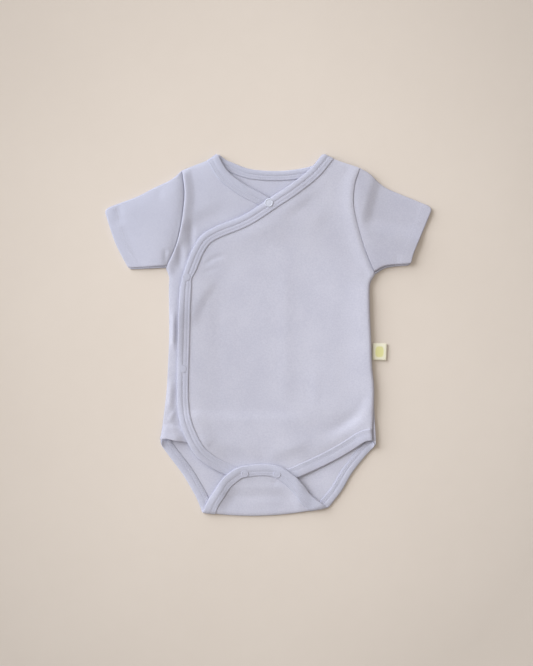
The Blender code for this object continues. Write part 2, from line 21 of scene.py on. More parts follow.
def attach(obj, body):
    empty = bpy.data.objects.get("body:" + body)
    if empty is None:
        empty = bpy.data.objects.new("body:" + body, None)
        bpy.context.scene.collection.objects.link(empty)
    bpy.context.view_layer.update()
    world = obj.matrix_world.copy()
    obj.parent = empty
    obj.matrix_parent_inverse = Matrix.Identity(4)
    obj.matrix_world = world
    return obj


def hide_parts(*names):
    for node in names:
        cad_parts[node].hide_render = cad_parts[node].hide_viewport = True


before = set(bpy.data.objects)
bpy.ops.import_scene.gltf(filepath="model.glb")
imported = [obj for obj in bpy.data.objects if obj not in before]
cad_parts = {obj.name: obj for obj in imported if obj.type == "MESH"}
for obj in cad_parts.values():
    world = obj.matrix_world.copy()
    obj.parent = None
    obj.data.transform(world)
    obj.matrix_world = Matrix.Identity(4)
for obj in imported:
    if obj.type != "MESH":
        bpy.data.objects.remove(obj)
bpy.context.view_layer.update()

log = logging.getLogger("bodysuit")
Array = np.ndarray
Knots = Sequence[tuple[float, float]]
Triple = tuple[float, float, float]

MM = 0.001

# Cloth
WALL = 0.72                     # thickness of the knit
AIR = 0.14                      # between layers that touch
PLY = WALL + AIR
HEM_WALL = 2 * WALL + AIR
PUFF = 0.42                     # plies of slack under the fronts
BINDING_WIDTH = 12.6
NECK_BINDING_WIDTH = 10.5
BINDING_FOLD = 1.5
BINDING_FACE = WALL / 2 + AIR / 2
BINDING_TOP = BINDING_FACE + WALL

# How the layers lift over each other
LIFT_REACH = 16.5
LIFT_FADE = 32.0
EDGE_FADE = 75.0
HEM_FADE = 35.0
FADE_START = 2.0
RELIEF = 0.85                   # scale of all creases
SIDE_RISE = 1.3                 # of the wrap beside its seam, in millimetres
BACK_RISE = 1.0                 # and of the back
CURL_RISE = 2.4                 # of the back where its other hip shows
HIP_RISE = 2.7                  # where its corner curls up

# Crotch fold
FLAP_LEVEL = 5.4
FLAP_MIDDLE = -9.0
FOLD_BOTTOM = -190.6
FOLD_MIDDLE = -17.0
FOLD_BOW = 0.0015
FOLD_DEPTH = 4.7
FOLD_LENGTH = 10.8

# Lines of a panel's grid beside its rim, by their distance from it
RIM_LINES = (0.0, 0.12, 0.4, 1.0)
RIM = RIM_LINES[-1]
ROW_STEP = 1.7

# Hems
HEM_DEPTH = 14.0
CUFF_DEPTH = 12.0
CUFF_ROWS = (11.3, 8.6)         # lines of stitches, from the cuff
HEM_ROWS = (0.6, 6.4, 9.6)      # lines of stitches down the underlap's hem
UNDERLAP_INNER_X = 12.0
HEM_OVERHANG = 0.8
TAB_END_Y = -163.0
FRONT_TOP = 189.3               # of the first row of a front

# Left and right in the names of edges are as seen from above; pieces are named as the wearer's
BACK_NECK: Knots = (
    (57.3, 190.4), (50.6, 180.1), (43.6, 176.6), (28.6, 173.6), (13.4, 172.1), (-3.7, 172.3),
    (-21.7, 174.6), (-38.7, 181.1), (-45.4, 184.1), (-53.3, 190.4),
)
LEFT_SHOULDER: Knots = ((-53.3, 190.4), (-64.2, 183.0), (-79.1, 177.1), (-90.9, 172.3))
RIGHT_SHOULDER: Knots = ((57.3, 190.4), (68.8, 184.2), (82.5, 179.3), (96.0, 175.0))
LEFT_ARMHOLE: Knots = (
    (-90.9, 172.3), (-88.3, 150.0), (-89.8, 129.5), (-92.9, 110.4), (-97.8, 92.2), (-108.0, 69.9),
)
RIGHT_ARMHOLE: Knots = (
    (96.0, 175.0), (90.8, 158.9), (89.0, 141.4), (90.8, 125.8), (96.0, 106.7), (102.1, 87.5),
    (112.1, 63.1),
)
LEFT_SIDE: Knots = (
    (-108.0, 69.9), (-104.4, 60.0), (-104.7, 47.0), (-104.4, 0.0), (-105.7, -34.0), (-107.3, -61.4),
    (-111.9, -99.2), (-113.9, -109.5),
)
RIGHT_SIDE: Knots = (
    (112.1, 63.1), (107.4, 55.0), (106.3, 45.0), (106.8, 18.0), (107.9, -4.0), (109.0, -34.0),
    (110.9, -52.0), (111.0, -70.0), (111.4, -86.0), (112.4, -104.0), (112.9, -116.0),
)
WRAP_SIDE: Knots = RIGHT_SIDE[:8] + ((110.1, -85.0), (109.3, -97.0), (108.8, -105.0), (108.7, -111.3))
BACK_LEG_LEFT: Knots = (
    (-113.9, -109.8), (-112.0, -117.0), (-105.0, -127.0), (-90.9, -145.8), (-80.9, -162.5),
    (-74.2, -175.2),
)
FLAP_EDGE: Knots = (
    (-64.2, -174.6), (-57.4, -163.9), (-50.7, -153.8), (-44.1, -147.0), (-30.6, -138.8),
    (-8.0, -135.9), (11.0, -138.1), (27.2, -148.2), (38.6, -160.1), (46.5, -170.1),
)
BACK_LEG_RIGHT: Knots = ((74.3, -167.8), (87.4, -146.1), (101.4, -128.2), (112.8, -116.3))
UNDERLAP_NECK: Knots = (
    (12.0, 135.5), (1.1, 143.3), (-10.6, 150.2), (-21.8, 155.8), (-39.0, 168.0), (-46.9, 177.7),
    (-53.3, 190.4),
)
WRAP_EDGE: Knots = (
    (57.3, 190.4), (43.6, 174.1), (23.5, 158.0), (5.5, 146.0), (-25.4, 126.0), (-54.8, 113.8),
    (-69.6, 105.0), (-78.9, 92.3), (-85.8, 76.0), (-91.2, 58.1), (-93.9, 39.4), (-95.5, -16.3),
    (-96.5, -45.7), (-96.2, -71.2), (-93.9, -90.0), (-87.3, -108.7), (-77.6, -125.7),
    (-67.5, -135.1), (-57.4, -141.8), (-45.0, -147.6), (-36.5, -152.3), (-33.5, TAB_END_Y),
)
WRAP_LEG: Knots = (
    (17.5, TAB_END_Y), (21.5, -154.8), (31.3, -150.3), (56.1, -139.0), (76.1, -128.6),
    (89.6, -120.3), (98.7, -114.2), (103.6, -112.0), (109.3, -111.3),
)


def ramp(value: Array, low: float, high: float) -> Array:
    """A smooth step from 0 at low to 1 at high."""
    step = np.clip((value - low) / (high - low), 0.0, 1.0)
    return step * step * (3 - 2 * step)


def below_armhole(y: Array) -> Array:
    """0 above the side seam's top, and 1 well below it."""
    return ramp(RIGHT_SIDE[0][1] - y, 2.0, 26.0)


def near(distance: Array) -> Array:
    """1 beside a bound edge, and 0 past where its lift has come down."""
    return 1 - ramp(distance, LIFT_REACH, LIFT_REACH + LIFT_FADE)


class Edge:
    """A smooth line through a few knots of the plan, with its cloth on the left."""

    def __init__(self, knots: Knots, pieces: int = 8) -> None:
        """Samples the line.

        Args:
            knots: points of the plan that it passes through.
            pieces: straight pieces between two knots.
        """
        given = np.array(knots, float)
        ends = np.vstack([2 * given[0] - given[1], given, 2 * given[-1] - given[-2]])
        steps = np.linspace(0.0, 1.0, pieces, endpoint=False)[:, None]
        spans = [self.span(ends[i:i + 4], steps) for i in range(len(given) - 1)]
        self.line = np.vstack([*spans, given[-1:]])
        lengths = np.linalg.norm(np.diff(self.line, axis=0), axis=1)
        self.walked = np.concatenate([[0.0], np.cumsum(lengths)])
        self.length = float(self.walked[-1])

    @staticmethod
    def span(knots: Array, steps: Array) -> Array:
        """Catmull-Rom points from the second of four knots towards the third."""
        before, start, end, after = knots
        return 0.5 * (
            2 * start + (end - before) * steps
            + (2 * before - 5 * start + 4 * end - after) * steps ** 2
            + (3 * start - before - 3 * end + after) * steps ** 3
        )

    def at(self, walked: Array) -> Array:
        """The points that lie these distances along."""
        return np.stack([np.interp(walked, self.walked, self.line[:, i]) for i in (0, 1)], -1)

    def inward(self, walked: Array, reach: float = 1.5) -> Array:
        """The unit directions into the cloth, at these distances along."""
        walked = np.asarray(walked, float)
        ahead = self.at(np.minimum(walked + reach, self.length)) - self.at(np.maximum(walked - reach, 0))
        square = np.stack([-ahead[..., 1], ahead[..., 0]], -1)
        return square / np.linalg.norm(square, axis=-1, keepdims=True)

    def inset(self, depth: float) -> Array:
        """The points of a line this far inside."""
        return self.line + depth * self.inward(self.walked)

    def nearest(self, x: Array, y: Array) -> tuple[Array, Array]:
        """Finds the nearest places of the line.

        Args:
            x: plan coordinates.
            y: plan coordinates, in the same shape.

        Returns:
            How far along the line each nearest place is, and how far away.
        """
        start, run = self.line[:-1], np.diff(self.line, axis=0)
        square = (run * run).sum(1)
        points = np.column_stack([np.ravel(x), np.ravel(y)])
        along, away = [], []
        for part in np.array_split(points, max(1, len(points) // 1500)):
            gap = part[:, None, :] - start
            share = np.clip((gap * run).sum(2) / square, 0.0, 1.0)
            distance = np.linalg.norm(gap - run * share[..., None], axis=2)
            best = distance.argmin(1)
            rows = np.arange(len(part))
            along.append(self.walked[best] + share[rows, best] * np.sqrt(square[best]))
            away.append(distance[rows, best])
        shape = np.shape(x)
        return np.concatenate(along).reshape(shape), np.concatenate(away).reshape(shape)

    def distance(self, x: Array, y: Array) -> Array:
        """The shortest ways from points to the line."""
        return self.nearest(x, y)[1]

    def inside(self, x: Array, y: Array) -> tuple[Array, Array]:
        """How far along the line the nearest places are, and how far inside it points lie."""
        walked, distance = self.nearest(x, y)
        side = ((np.stack([x, y], -1) - self.at(walked)) * self.inward(walked)).sum(-1)
        return walked, np.where(side > 0, distance, -distance)


def x_at(y: Array, *chains: Array) -> Array:
    """Where a chain of lines, run from the top down, crosses these heights of the plan."""
    chain = np.vstack(chains)
    return np.interp(-np.asarray(y), -chain[:, 1], chain[:, 0])


@dataclass(frozen=True)
class Crease:
    """A soft ridge in cloth, or a trough where its rise is negative."""

    path: Knots
    rise: float
    reach: float
    fade: float = 0.35          # share of its length over which each end dies away

    def risen(self, share: Array) -> Array:
        """Its rise at these shares of its length."""
        return RELIEF * self.rise * (ramp(share, 0.0, self.fade) * ramp(1 - share, 0.0, self.fade))

    def lift(self, x: Array, y: Array) -> Array:
        """How far it moves the cloth up at points of the plan."""
        edge = Edge(self.path, pieces=5)
        walked, distance = edge.nearest(x, y)
        return self.risen(walked / edge.length) * np.exp(-(distance / self.reach) ** 2)


@dataclass(frozen=True)
class Step(Crease):
    """A place where cloth comes down, over twice its reach, from the left of a line to its right."""

    left: float = 1.0           # share of the rise that is on the left, and not lost on the right

    def lift(self, x: Array, y: Array) -> Array:
        """How far it moves the cloth up at points of the plan."""
        edge = Edge(self.path, pieces=5)
        walked, inside = edge.inside(x, y)
        return self.risen(walked / edge.length) * (ramp(inside, -self.reach, self.reach) + self.left - 1)


def lifted(creases: Sequence[Crease], x: Array, y: Array) -> Array:
    """How far creases together move the cloth up at points of the plan."""
    return sum(crease.lift(x, y) for crease in creases)


@dataclass(frozen=True)
class SeamRoll:
    """How cloth rolls up beside a seam, and settles again further in."""

    edge: Edge
    height: float = 1.6
    turn: float = 2.4           # distance over which it comes up from the seam
    fade: float = 15.0          # and settles
    left: float = 0.45          # share of the height that stays
    sunk: float = 1.0           # share of the height that is lost at the seam itself

    def rise(self, away: Array) -> Array:
        """The height of the roll, before any seam pins it down."""
        return self.height * (self.left + (1 - self.left) * np.exp(-(away / self.fade) ** 2))


@dataclass(frozen=True)
class Relief:
    """The unevenness of one panel: its creases, the rolls along its seams and a slow swell."""

    creases: tuple[Crease, ...] = ()
    rolls: tuple[SeamRoll, ...] = ()
    swell: float = 0.25
    deepest: float = -0.3

    def lift(self, x: Array, y: Array) -> Array:
        """How far the panel stands above its layer height at points of the plan."""
        total = self.swell * (
            1 + 0.5 * np.sin(x / 17.0 + 1.3 * np.sin(y / 41.0)) + 0.5 * np.sin(y / 23.0 + x / 61.0 + 2.0)
        )
        total = total + lifted(self.creases, x, y)
        away = [roll.edge.distance(x, y) for roll in self.rolls]
        pinned = np.prod(
            [1 - roll.sunk * np.exp(-d / roll.turn) for d, roll in zip(away, self.rolls)], axis=0,
        )
        risen = np.max([roll.rise(d) for d, roll in zip(away, self.rolls)], axis=0)
        return np.maximum(total * ramp(np.min(away, axis=0), 0.0, 4.0) + pinned * risen, self.deepest)


def fold_middle(x: Array) -> Array:
    """Where the middle of the crotch turn is, up the plan."""
    return FOLD_BOTTOM + FOLD_BOW * (x - FOLD_MIDDLE) ** 2 + FOLD_DEPTH


def unfolded(knots: Knots, flap: bool) -> list[tuple[float, float]]:
    """Knots of the back or of the flap in the fold coordinate, which is 0 where the turn starts."""
    heights = [(x, y - float(fold_middle(x))) for x, y in knots]
    return [(x, -FOLD_LENGTH - h if flap else h) for x, h in heights]


class Garment:
    """The edges of the garment, and how high each of its layers lies."""

    def __init__(self) -> None:
        """Makes the edges, and the relief of each panel."""
        self.neck = Edge(BACK_NECK)
        self.leg = Edge(
            unfolded(BACK_LEG_LEFT, False) + unfolded(FLAP_EDGE, True) + unfolded(BACK_LEG_RIGHT, False)
        )
        self.underlap_neck = Edge(UNDERLAP_NECK)
        self.wrap_edge = Edge(WRAP_EDGE)
        self.wrap_leg = Edge(WRAP_LEG)
        self.shoulders = (Edge(LEFT_SHOULDER), Edge(RIGHT_SHOULDER))
        self.armholes = (Edge(LEFT_ARMHOLE), Edge(RIGHT_ARMHOLE))
        self.sides = (Edge(LEFT_SIDE), Edge(RIGHT_SIDE))
        self.wrap_side = Edge(WRAP_SIDE)
        self.underlap_relief = Relief(
            UNDERLAP_CREASES,
            (
                SeamRoll(self.shoulders[0], 0.5, 3.0), SeamRoll(self.armholes[0], 2.3, 0.6, 7.6, 0.0, 0.3),
                SeamRoll(Edge(LEFT_SIDE[:-1]), 0.4, 3.0, 8.0, 0.2),
            ),
            swell=0.1, deepest=-2.0,
        )
        self.wrap_relief = Relief(
            WRAP_CREASES,
            (
                SeamRoll(self.shoulders[1], 0.5, 3.0), SeamRoll(self.armholes[1], 1.3, 2.2, 10.0, 0.15, 0.5),
                SeamRoll(Edge(WRAP_SIDE[:-2]), 0.7, 0.4, 30.0, 0.3),
            ),
            deepest=-1.0,
        )

    def back_level(self, x: Array, y: Array) -> Array:
        """Plies under the back, which lies on its bindings at the neck and the legs."""
        legs = self.leg.distance(x, y - fold_middle(x))
        return np.maximum(near(self.neck.distance(x, y)), near(legs))

    def side_rise(self, x: Array, y: Array) -> Array:
        """How far the seam of the back's right side stands off the surface, in millimetres."""
        away = self.sides[1].distance(x, y)
        hip = ramp(-y, 74.0, 98.0)
        rise = BACK_RISE * (1 - hip) * np.exp(-(away / 5.0) ** 2)
        rise = rise + HIP_RISE * hip * (1 - ramp(away, 2.0, 6.0))
        curl = CURL_RISE * np.exp(-((x + 113.6) / 3.0) ** 2 - ((y + 114.8) / 4.6) ** 2)
        return rise * below_armhole(y) + curl

    def bridged(self, x: Array, y: Array) -> Array:
        """How far the wrap's slack stands over its layers, in millimetres, pinned at its side seam."""
        level = PLY * self.wrap_level(x, y)
        upper = ramp(y, 70.0, 130.0)
        slack = (3.3 + 1.6 * upper) * ramp(x + 42.0 * upper, -30.0, 75.0) * ramp(y, -125.0, -75.0)
        away = self.wrap_side.distance(x, y)
        side = SIDE_RISE * np.exp(-(away / 18.0) ** 2) * below_armhole(y)
        over = 0.5 * np.logaddexp(level / 0.5, slack / 0.5) - level + side
        return over * (1 - 0.7 * np.exp(-away / 0.35))

    @staticmethod
    def puff(seams: Sequence[Edge], x: Array, y: Array) -> Array:
        """Plies of slack under a front, which has none at its seams."""
        return PUFF * ramp(np.min([seam.distance(x, y) for seam in seams], axis=0), 0.0, LIFT_REACH)

    def underlap_level(self, x: Array, y: Array) -> Array:
        """Plies under the underlap."""
        puff = self.puff((self.shoulders[0], self.armholes[0], self.sides[0]), x, y)
        return 2 * self.back_level(x, y) + 1 + puff + near(self.underlap_neck.distance(x, y))

    def underlap_top(self, x: Array, y: Array) -> Array:
        """The highest ply of the underlap, its binding and its hem, and of the back past it."""
        hem_bottom = LEFT_SIDE[-1][1]
        hem_top = hem_bottom + HEM_DEPTH + 2 * FADE_START
        hem = 1 - ramp(y, hem_top, hem_top + HEM_DEPTH)
        top = self.underlap_level(x, y) + near(self.underlap_neck.distance(x, y)) + hem
        past_hem = ramp(hem_bottom - y, FADE_START, FADE_START + HEM_FADE)
        past_inner = ramp(x - UNDERLAP_INNER_X, FADE_START, FADE_START + EDGE_FADE)
        return top + (2 * self.back_level(x, y) - top) * np.maximum(past_hem, past_inner)

    def under_wrap(self, x: Array, y: Array) -> Array:
        """Plies under the wrap, before its own bindings lift it."""
        puff = self.puff((self.shoulders[1], self.armholes[1], self.wrap_side), x, y)
        return self.underlap_top(x, y) + 1 + puff * ramp(y, TAB_END_Y, TAB_END_Y + EDGE_FADE)

    def wrap_level(self, x: Array, y: Array) -> Array:
        """Plies under the wrap, which is flat across its bound edges."""
        lines = (self.wrap_edge, self.wrap_leg)
        found = [line.nearest(x, y) for line in lines]
        middles = [line.at(s) + line.inward(s) * BINDING_WIDTH / 2 for line, (s, _) in zip(lines, found)]
        closer = (found[0][1] <= found[1][1])[..., None]
        middle = np.where(closer, middles[0], middles[1])
        distance = np.minimum(found[0][1], found[1][1])
        flat = 1 - ramp(distance, LIFT_REACH, 2 * LIFT_REACH)
        level = self.under_wrap(x, y)
        return level + (self.under_wrap(middle[..., 0], middle[..., 1]) - level) * flat + near(distance)

    def underlap_middle(self, x: Array, y: Array) -> Array:
        """The height of the middle of the underlap's wall."""
        hidden = self.wrap_edge.inside(x, y)[1]
        level = PLY * self.underlap_level(x, y)
        slack = 2.5 * ramp(-x, 10.0, 66.0) * ramp(y, 62.0, 108.0) * ramp(-hidden, 0.0, 26.0)
        over = 0.4 * np.logaddexp(level / 0.4, slack / 0.4) - level
        moved = np.maximum(over + self.underlap_relief.lift(x, y), -0.35)
        raised = np.maximum(moved, 0.0) * (1 - ramp(hidden, -3.4, 0.4))
        return level + WALL / 2 + raised + np.minimum(moved, 0.0) * (1 - ramp(hidden, 1.0, 6.0))

    def wrap_middle(self, x: Array, y: Array) -> Array:
        """The height of the middle of the wrap's wall."""
        level = PLY * self.wrap_level(x, y) + WALL / 2
        return level + self.wrap_relief.lift(x, y) + self.bridged(x, y)

    def flap_middle(self, x: Array, fold: Array) -> Array:
        """The height of the middle of the flap's wall, by the fold coordinate."""
        away = self.leg.distance(x, np.minimum(fold, -FOLD_LENGTH))
        y = fold_middle(x) - FOLD_LENGTH - np.minimum(fold, -FOLD_LENGTH)
        free = ramp(np.abs(x - FLAP_MIDDLE), 10.0, 26.0)
        edge = 0.7 * np.exp(-(away / 7.0) ** 2) * free
        sag = (0.9 + 1.5 * ramp(-y, 158.0, 172.0)) * ramp(away, 5.0, 22.0)
        sag = np.minimum(sag + 1.9 * ramp(np.abs(x - FLAP_MIDDLE), 38.0, 56.0), 2.5)
        return PLY * FLAP_LEVEL + WALL / 2 + edge - sag + lifted(FLAP_CREASES, x, y)

    def on_underlap(self, x: Array, y: Array, height: Array) -> Array:
        """Places on the underlap, this high above the middle of its wall."""
        return np.stack([x, y, self.underlap_middle(x, y) + height], -1)

    def on_wrap(self, x: Array, y: Array, height: Array) -> Array:
        """Places on the wrap."""
        return np.stack([x, y, self.wrap_middle(x, y) + height], -1)

    def on_back(self, x: Array, y: Array, height: Array) -> Array:
        """Places on the back, whose outside lies down."""
        middle = PLY * self.back_level(x, y) + WALL / 2 + self.side_rise(x, y)
        return np.stack([x, y, middle - height], -1)

    def on_folded_back(self, x: Array, fold: Array, height: Array) -> Array:
        """Places on the back, on its crotch turn or on the flap, by the fold coordinate."""
        middle = fold_middle(x)
        above = middle + np.maximum(fold, 0.0)
        lower = PLY * self.back_level(x, above) + WALL / 2 + self.side_rise(x, above)
        upper = self.flap_middle(x, fold)
        turn = np.clip(-fold / FOLD_LENGTH, 0.0, 1.0) * math.pi
        radius = (upper - lower) / 2 + height
        reach = FOLD_DEPTH - WALL / 2 + height
        y = middle + np.maximum(fold, 0.0) + np.maximum(-FOLD_LENGTH - fold, 0.0)
        return np.stack([x, y - reach * np.sin(turn), (upper + lower) / 2 - radius * np.cos(turn)], -1)


UNDERLAP_CREASES = (
    Crease(((-94.5, 99.0), (-93.0, 85.0), (-92.0, 66.0)), -1.2, 3.2),
    Crease(((-81.8, 122.0), (-80.6, 104.0), (-81.8, 84.0)), -1.0, 3.2),
    Crease(((-83.0, 102.0), (-84.5, 92.0), (-88.0, 78.0)), 0.4, 2.6),
    Crease(((-86.0, 112.0), (-88.0, 96.0), (-89.5, 78.0)), 0.7, 4.2),
    Crease(((-99.8, 28.0), (-100.0, 4.0), (-100.2, -20.0)), 1.8, 2.6, 0.4),
    Crease(((-95.4, 30.0), (-95.8, 8.0), (-96.0, -20.0)), -1.0, 3.0),
    Crease(((-102.5, -44.0), (-103.5, -64.0), (-105.5, -84.0)), 0.9, 4.0),
    Crease(((-97.0, -78.0), (-101.5, -86.0), (-106.0, -93.0)), 0.7, 2.2),
    Crease(((-95.5, -52.0), (-95.5, -80.0), (-93.5, -94.0), (-91.0, -107.0)), -1.3, 4.2, 0.25),
    Crease(((-120.0, -107.0), (-106.0, -109.5), (-88.0, -113.0)), 3.4, 6.5),
)
WRAP_CREASES = (
    Crease(((19.0, 92.0), (17.0, 30.0), (18.0, -20.0), (17.5, -84.0)), 0.25, 8.0, 0.25),
    Crease(((48.0, -30.0), (49.5, -55.0), (47.5, -80.0)), 0.2, 5.0),
    Crease(((-52.5, 44.0), (-53.0, 15.0), (-51.0, -14.0)), -0.15, 5.0),
    Crease(((30.0, 140.0), (46.0, 128.0), (62.0, 116.0)), 0.5, 13.0),
    Crease(((40.0, 124.0), (60.0, 115.0), (79.0, 94.0), (87.0, 76.0), (90.0, 50.0)), -0.22, 8.0),
    Crease(((106.0, -48.0), (101.0, -66.0), (91.0, -83.0), (71.0, -98.0), (52.0, -103.0)), -0.55, 6.0),
    Crease(((106.0, -60.0), (104.0, -80.0), (94.0, -93.0), (78.0, -102.0)), 0.35, 6.0),
    Step(((-80.0, 2.0), (-75.5, 20.0), (-69.5, 34.0), (-61.0, 47.0), (-50.0, 58.0)), 1.3, 5.5),
    Crease(((-69.0, 71.0), (-58.0, 79.5), (-44.0, 83.5)), -0.55, 2.4),
    Crease(((-72.0, 62.0), (-60.0, 68.0), (-48.0, 70.0)), -0.3, 2.0),
    Crease(((-71.5, -106.0), (-65.0, -114.0), (-60.0, -117.0)), 0.35, 2.0),
    Crease(((-97.0, 48.0), (-97.5, 10.0), (-97.0, -32.0)), 1.9, 8.0, 0.4),
    Crease(((32.0, -144.0), (76.0, -124.0), (108.0, -106.0)), -1.6, 12.0, 0.3),
)
FLAP_CREASES = (
    Crease(((2.0, -157.5), (6.5, -155.5), (11.0, -151.0)), -0.45, 1.8),
    Crease(((-30.0, -183.0), (-8.0, -176.0), (22.0, -176.0)), 0.4, 6.0),
)


class Graph:
    """Builds the nodes of one material."""

    def __init__(self, name: str) -> None:
        """Makes a material with a Principled shader."""
        self.material = bpy.data.materials.new(name)
        self.material.use_nodes = True
        self.tree = self.material.node_tree
        self.shader = self.tree.nodes["Principled BSDF"]

    def node(self, kind: str, settings: dict | None = None, **sockets) -> bpy.types.Node:
        """Adds a node.

        Args:
            kind: the node's type, after ShaderNode.
            settings: its properties, set before its sockets.
            sockets: values or links of its inputs, with _ for a space, or i0, i1 for their places.

        Returns:
            The node.
        """
        made = self.tree.nodes.new("ShaderNode" + kind)
        for name, value in (settings or {}).items():
            setattr(made, name, value)
        for name, value in sockets.items():
            place = int(name[1:]) if name[0] == "i" and name[1:].isdigit() else name.replace("_", " ")
            self.feed(made.inputs[place], value)
        return made

    def feed(self, socket: bpy.types.NodeSocket, value) -> None:
        """Sets a socket, or links a value to it."""
        if isinstance(value, Signal):
            self.tree.links.new(value.socket, socket)
        elif isinstance(value, bpy.types.NodeSocket):
            self.tree.links.new(value, socket)
        else:
            socket.default_value = value

    def split(self, vector: bpy.types.NodeSocket) -> list["Signal"]:
        """The three parts of a vector."""
        made = self.node("SeparateXYZ", None, Vector=vector)
        return [Signal(self, output) for output in made.outputs]

    def weave(self) -> bpy.types.NodeSocket:
        """The piece's own map."""
        return self.node("UVMap", {"uv_map": "weave"}).outputs[0]

    def place(self) -> bpy.types.NodeSocket:
        """The point of the object."""
        return self.node("TexCoord").outputs["Object"]

    def look(self, **inputs) -> None:
        """Sets or links inputs of the shader, with _ for a space."""
        for name, value in inputs.items():
            self.feed(self.shader.inputs[name.replace("_", " ")], value)

    def bump(self, height: "Signal", depth: float, strength: float = 1.0) -> None:
        """Roughens the surface.

        Args:
            height: from 0 to 1.
            depth: the height's reach in millimetres.
            strength: share of it that shows.
        """
        made = self.node("Bump", None, Strength=strength, Distance=depth * MM, Height=height)
        self.look(Normal=made.outputs[0])

    def maths(self, operation: str, *values) -> "Signal":
        """A Math node's result."""
        made = self.node("Math", {"operation": operation}, **{f"i{i}": v for i, v in enumerate(values)})
        return Signal(self, made.outputs[0])

    def noise(self, vector: bpy.types.NodeSocket, scale: float, detail: float = 2.0) -> "Signal":
        """Noise from 0 to 1 over a vector."""
        made = self.node("TexNoise", {"noise_dimensions": "3D"}, Vector=vector, Scale=scale, Detail=detail)
        return Signal(self, made.outputs["Fac"])

    def blend(self, share: "Signal", low: tuple, high: tuple) -> bpy.types.NodeSocket:
        """A colour between two."""
        made = self.node("Mix", {"data_type": "RGBA", "clamp_factor": True}, i0=share)
        self.feed(made.inputs[6], low if isinstance(low, bpy.types.NodeSocket) else (*low, 1.0))
        self.feed(made.inputs[7], high if isinstance(high, bpy.types.NodeSocket) else (*high, 1.0))
        return made.outputs[2]


class Signal:
    """A number that varies over a surface, which sums and products can be written with."""

    def __init__(self, graph: Graph, socket: bpy.types.NodeSocket) -> None:
        """Wraps an output socket."""
        self.graph, self.socket = graph, socket

    def __add__(self, other) -> "Signal":
        """The sum."""
        return self.graph.maths("ADD", self, other)

    def __sub__(self, other) -> "Signal":
        """The difference."""
        return self.graph.maths("SUBTRACT", self, other)

    def __rsub__(self, other) -> "Signal":
        """The difference from another value."""
        return self.graph.maths("SUBTRACT", other, self)

    def __mul__(self, other) -> "Signal":
        """The product."""
        return self.graph.maths("MULTIPLY", self, other)

    __radd__ = __add__
    __rmul__ = __mul__

    def __truediv__(self, other) -> "Signal":
        """The quotient."""
        return self.graph.maths("DIVIDE", self, other)

    def wave(self) -> "Signal":
        """Its sine."""
        return self.graph.maths("SINE", self)

    def fraction(self) -> "Signal":
        """What is left of it above its whole number."""
        return self.graph.maths("FRACT", self)

    def size(self) -> "Signal":
        """It without its sign."""
        return self.graph.maths("ABSOLUTE", self)

    def clamped(self) -> "Signal":
        """It, kept between 0 and 1."""
        return self.graph.maths("MINIMUM", self.graph.maths("MAXIMUM", self, 0.0), 1.0)


class Knitting(Enum):
    """Kinds of knitted cloth, by the loops that show."""

    INTERLOCK = 1
    RIB = 2


@dataclass(frozen=True)
class KnitFinish:
    """Cotton knit, by the size of its loops and how its colour wanders, with painted bluish light towards the
    upper left and painted shade on the sides that face the light.
    """

    name: str
    knitting: Knitting
    colour: Triple
    faded: Triple
    painted_window_tint: Triple = (0.495, 0.512, 0.645)     # painted bluish window light, towards the upper left over the right shoulder
    wale: float = 1.05          # between columns of loops
    course: float = 0.85        # between rows of loops
    rib: float = 1.3            # between ribs, where it has them
    depth: float = 0.09         # of the loops
    fuzz: float = 0.09
    edge: Triple = (0.27, 0.275, 0.36)      # painted shade, laid on the sides of the cloth that face the light
    # share of that painted shade that shows
    rim: float = 0.8

    def material(self) -> bpy.types.Material:
        """Makes the finish, on the piece's own map in metres along and across the knit."""
        graph = Graph(self.name)
        place = graph.place()
        u, v = graph.split(graph.weave())[:2]
        across, down = u / (self.wale * MM), v / (self.course * MM)
        leg = (across.fraction() - 0.5).size() * 2
        loops = (down * math.tau - leg * math.pi).wave() * 0.5 + 0.5
        columns = v / (self.rib * MM) if self.knitting is Knitting.RIB else across
        column = (columns * math.tau).wave() * 0.5 + 0.5
        grain, speckle = graph.noise(place, 1600.0, 3.0), graph.noise(place, 620.0)
        broad = graph.noise(place, 34.0, 3.0)
        graph.bump(loops * 0.45 + column * 0.55 + grain * self.fuzz / self.depth, self.depth)
        share = broad * 1.5 - 0.25 + (grain - 0.5) * 0.5 + (speckle - 0.5) * 2.2 + (loops - 0.5) * 0.3
        x, y = graph.split(place)[:2]
        # painted light: the knit turns bluer towards the upper left, where the window's light falls
        painted_window_share = ((y - x) * 5.0 - 0.45).clamped() * 0.7
        tinted = graph.blend(painted_window_share, graph.blend(share, self.colour, self.faded), self.painted_window_tint)
        # painted shade: sides that face the window, to the west and north, are darkened to hold down their
        # light
        east, north = graph.split(graph.node("NewGeometry").outputs["Normal"])[:2]
        painted_lit_side_shade = ((north * 0.45 - east * 0.9) * 1.5 - 0.35).clamped()
        graph.look(
            Base_Color=graph.blend(painted_lit_side_shade * self.rim, tinted, self.edge), Roughness=0.86 + grain * 0.1,
            Sheen_Weight=0.25, Sheen_Roughness=0.5, Sheen_Tint=(0.95, 0.95, 1.0, 1.0),
            Specular_IOR_Level=0.2,
        )
        return graph.material


@dataclass(frozen=True)
class PlainFinish:
    """A fine even finish with a faint grain, for thread and snap caps."""

    name: str
    colour: Triple
    roughness: float
    grain: float = 0.02
    grain_size: float = 0.4
    coat: float = 0.0

    def material(self) -> bpy.types.Material:
        """Makes the finish."""
        graph = Graph(self.name)
        grain = graph.noise(graph.place(), 1 / (self.grain_size * MM))
        graph.bump(grain, self.grain)
        dark = tuple(0.9 * part for part in self.colour)
        graph.look(
            Base_Color=graph.blend(grain, dark, self.colour), Roughness=grain * 0.1 + self.roughness,
            Coat_Weight=self.coat,
        )
        return graph.material


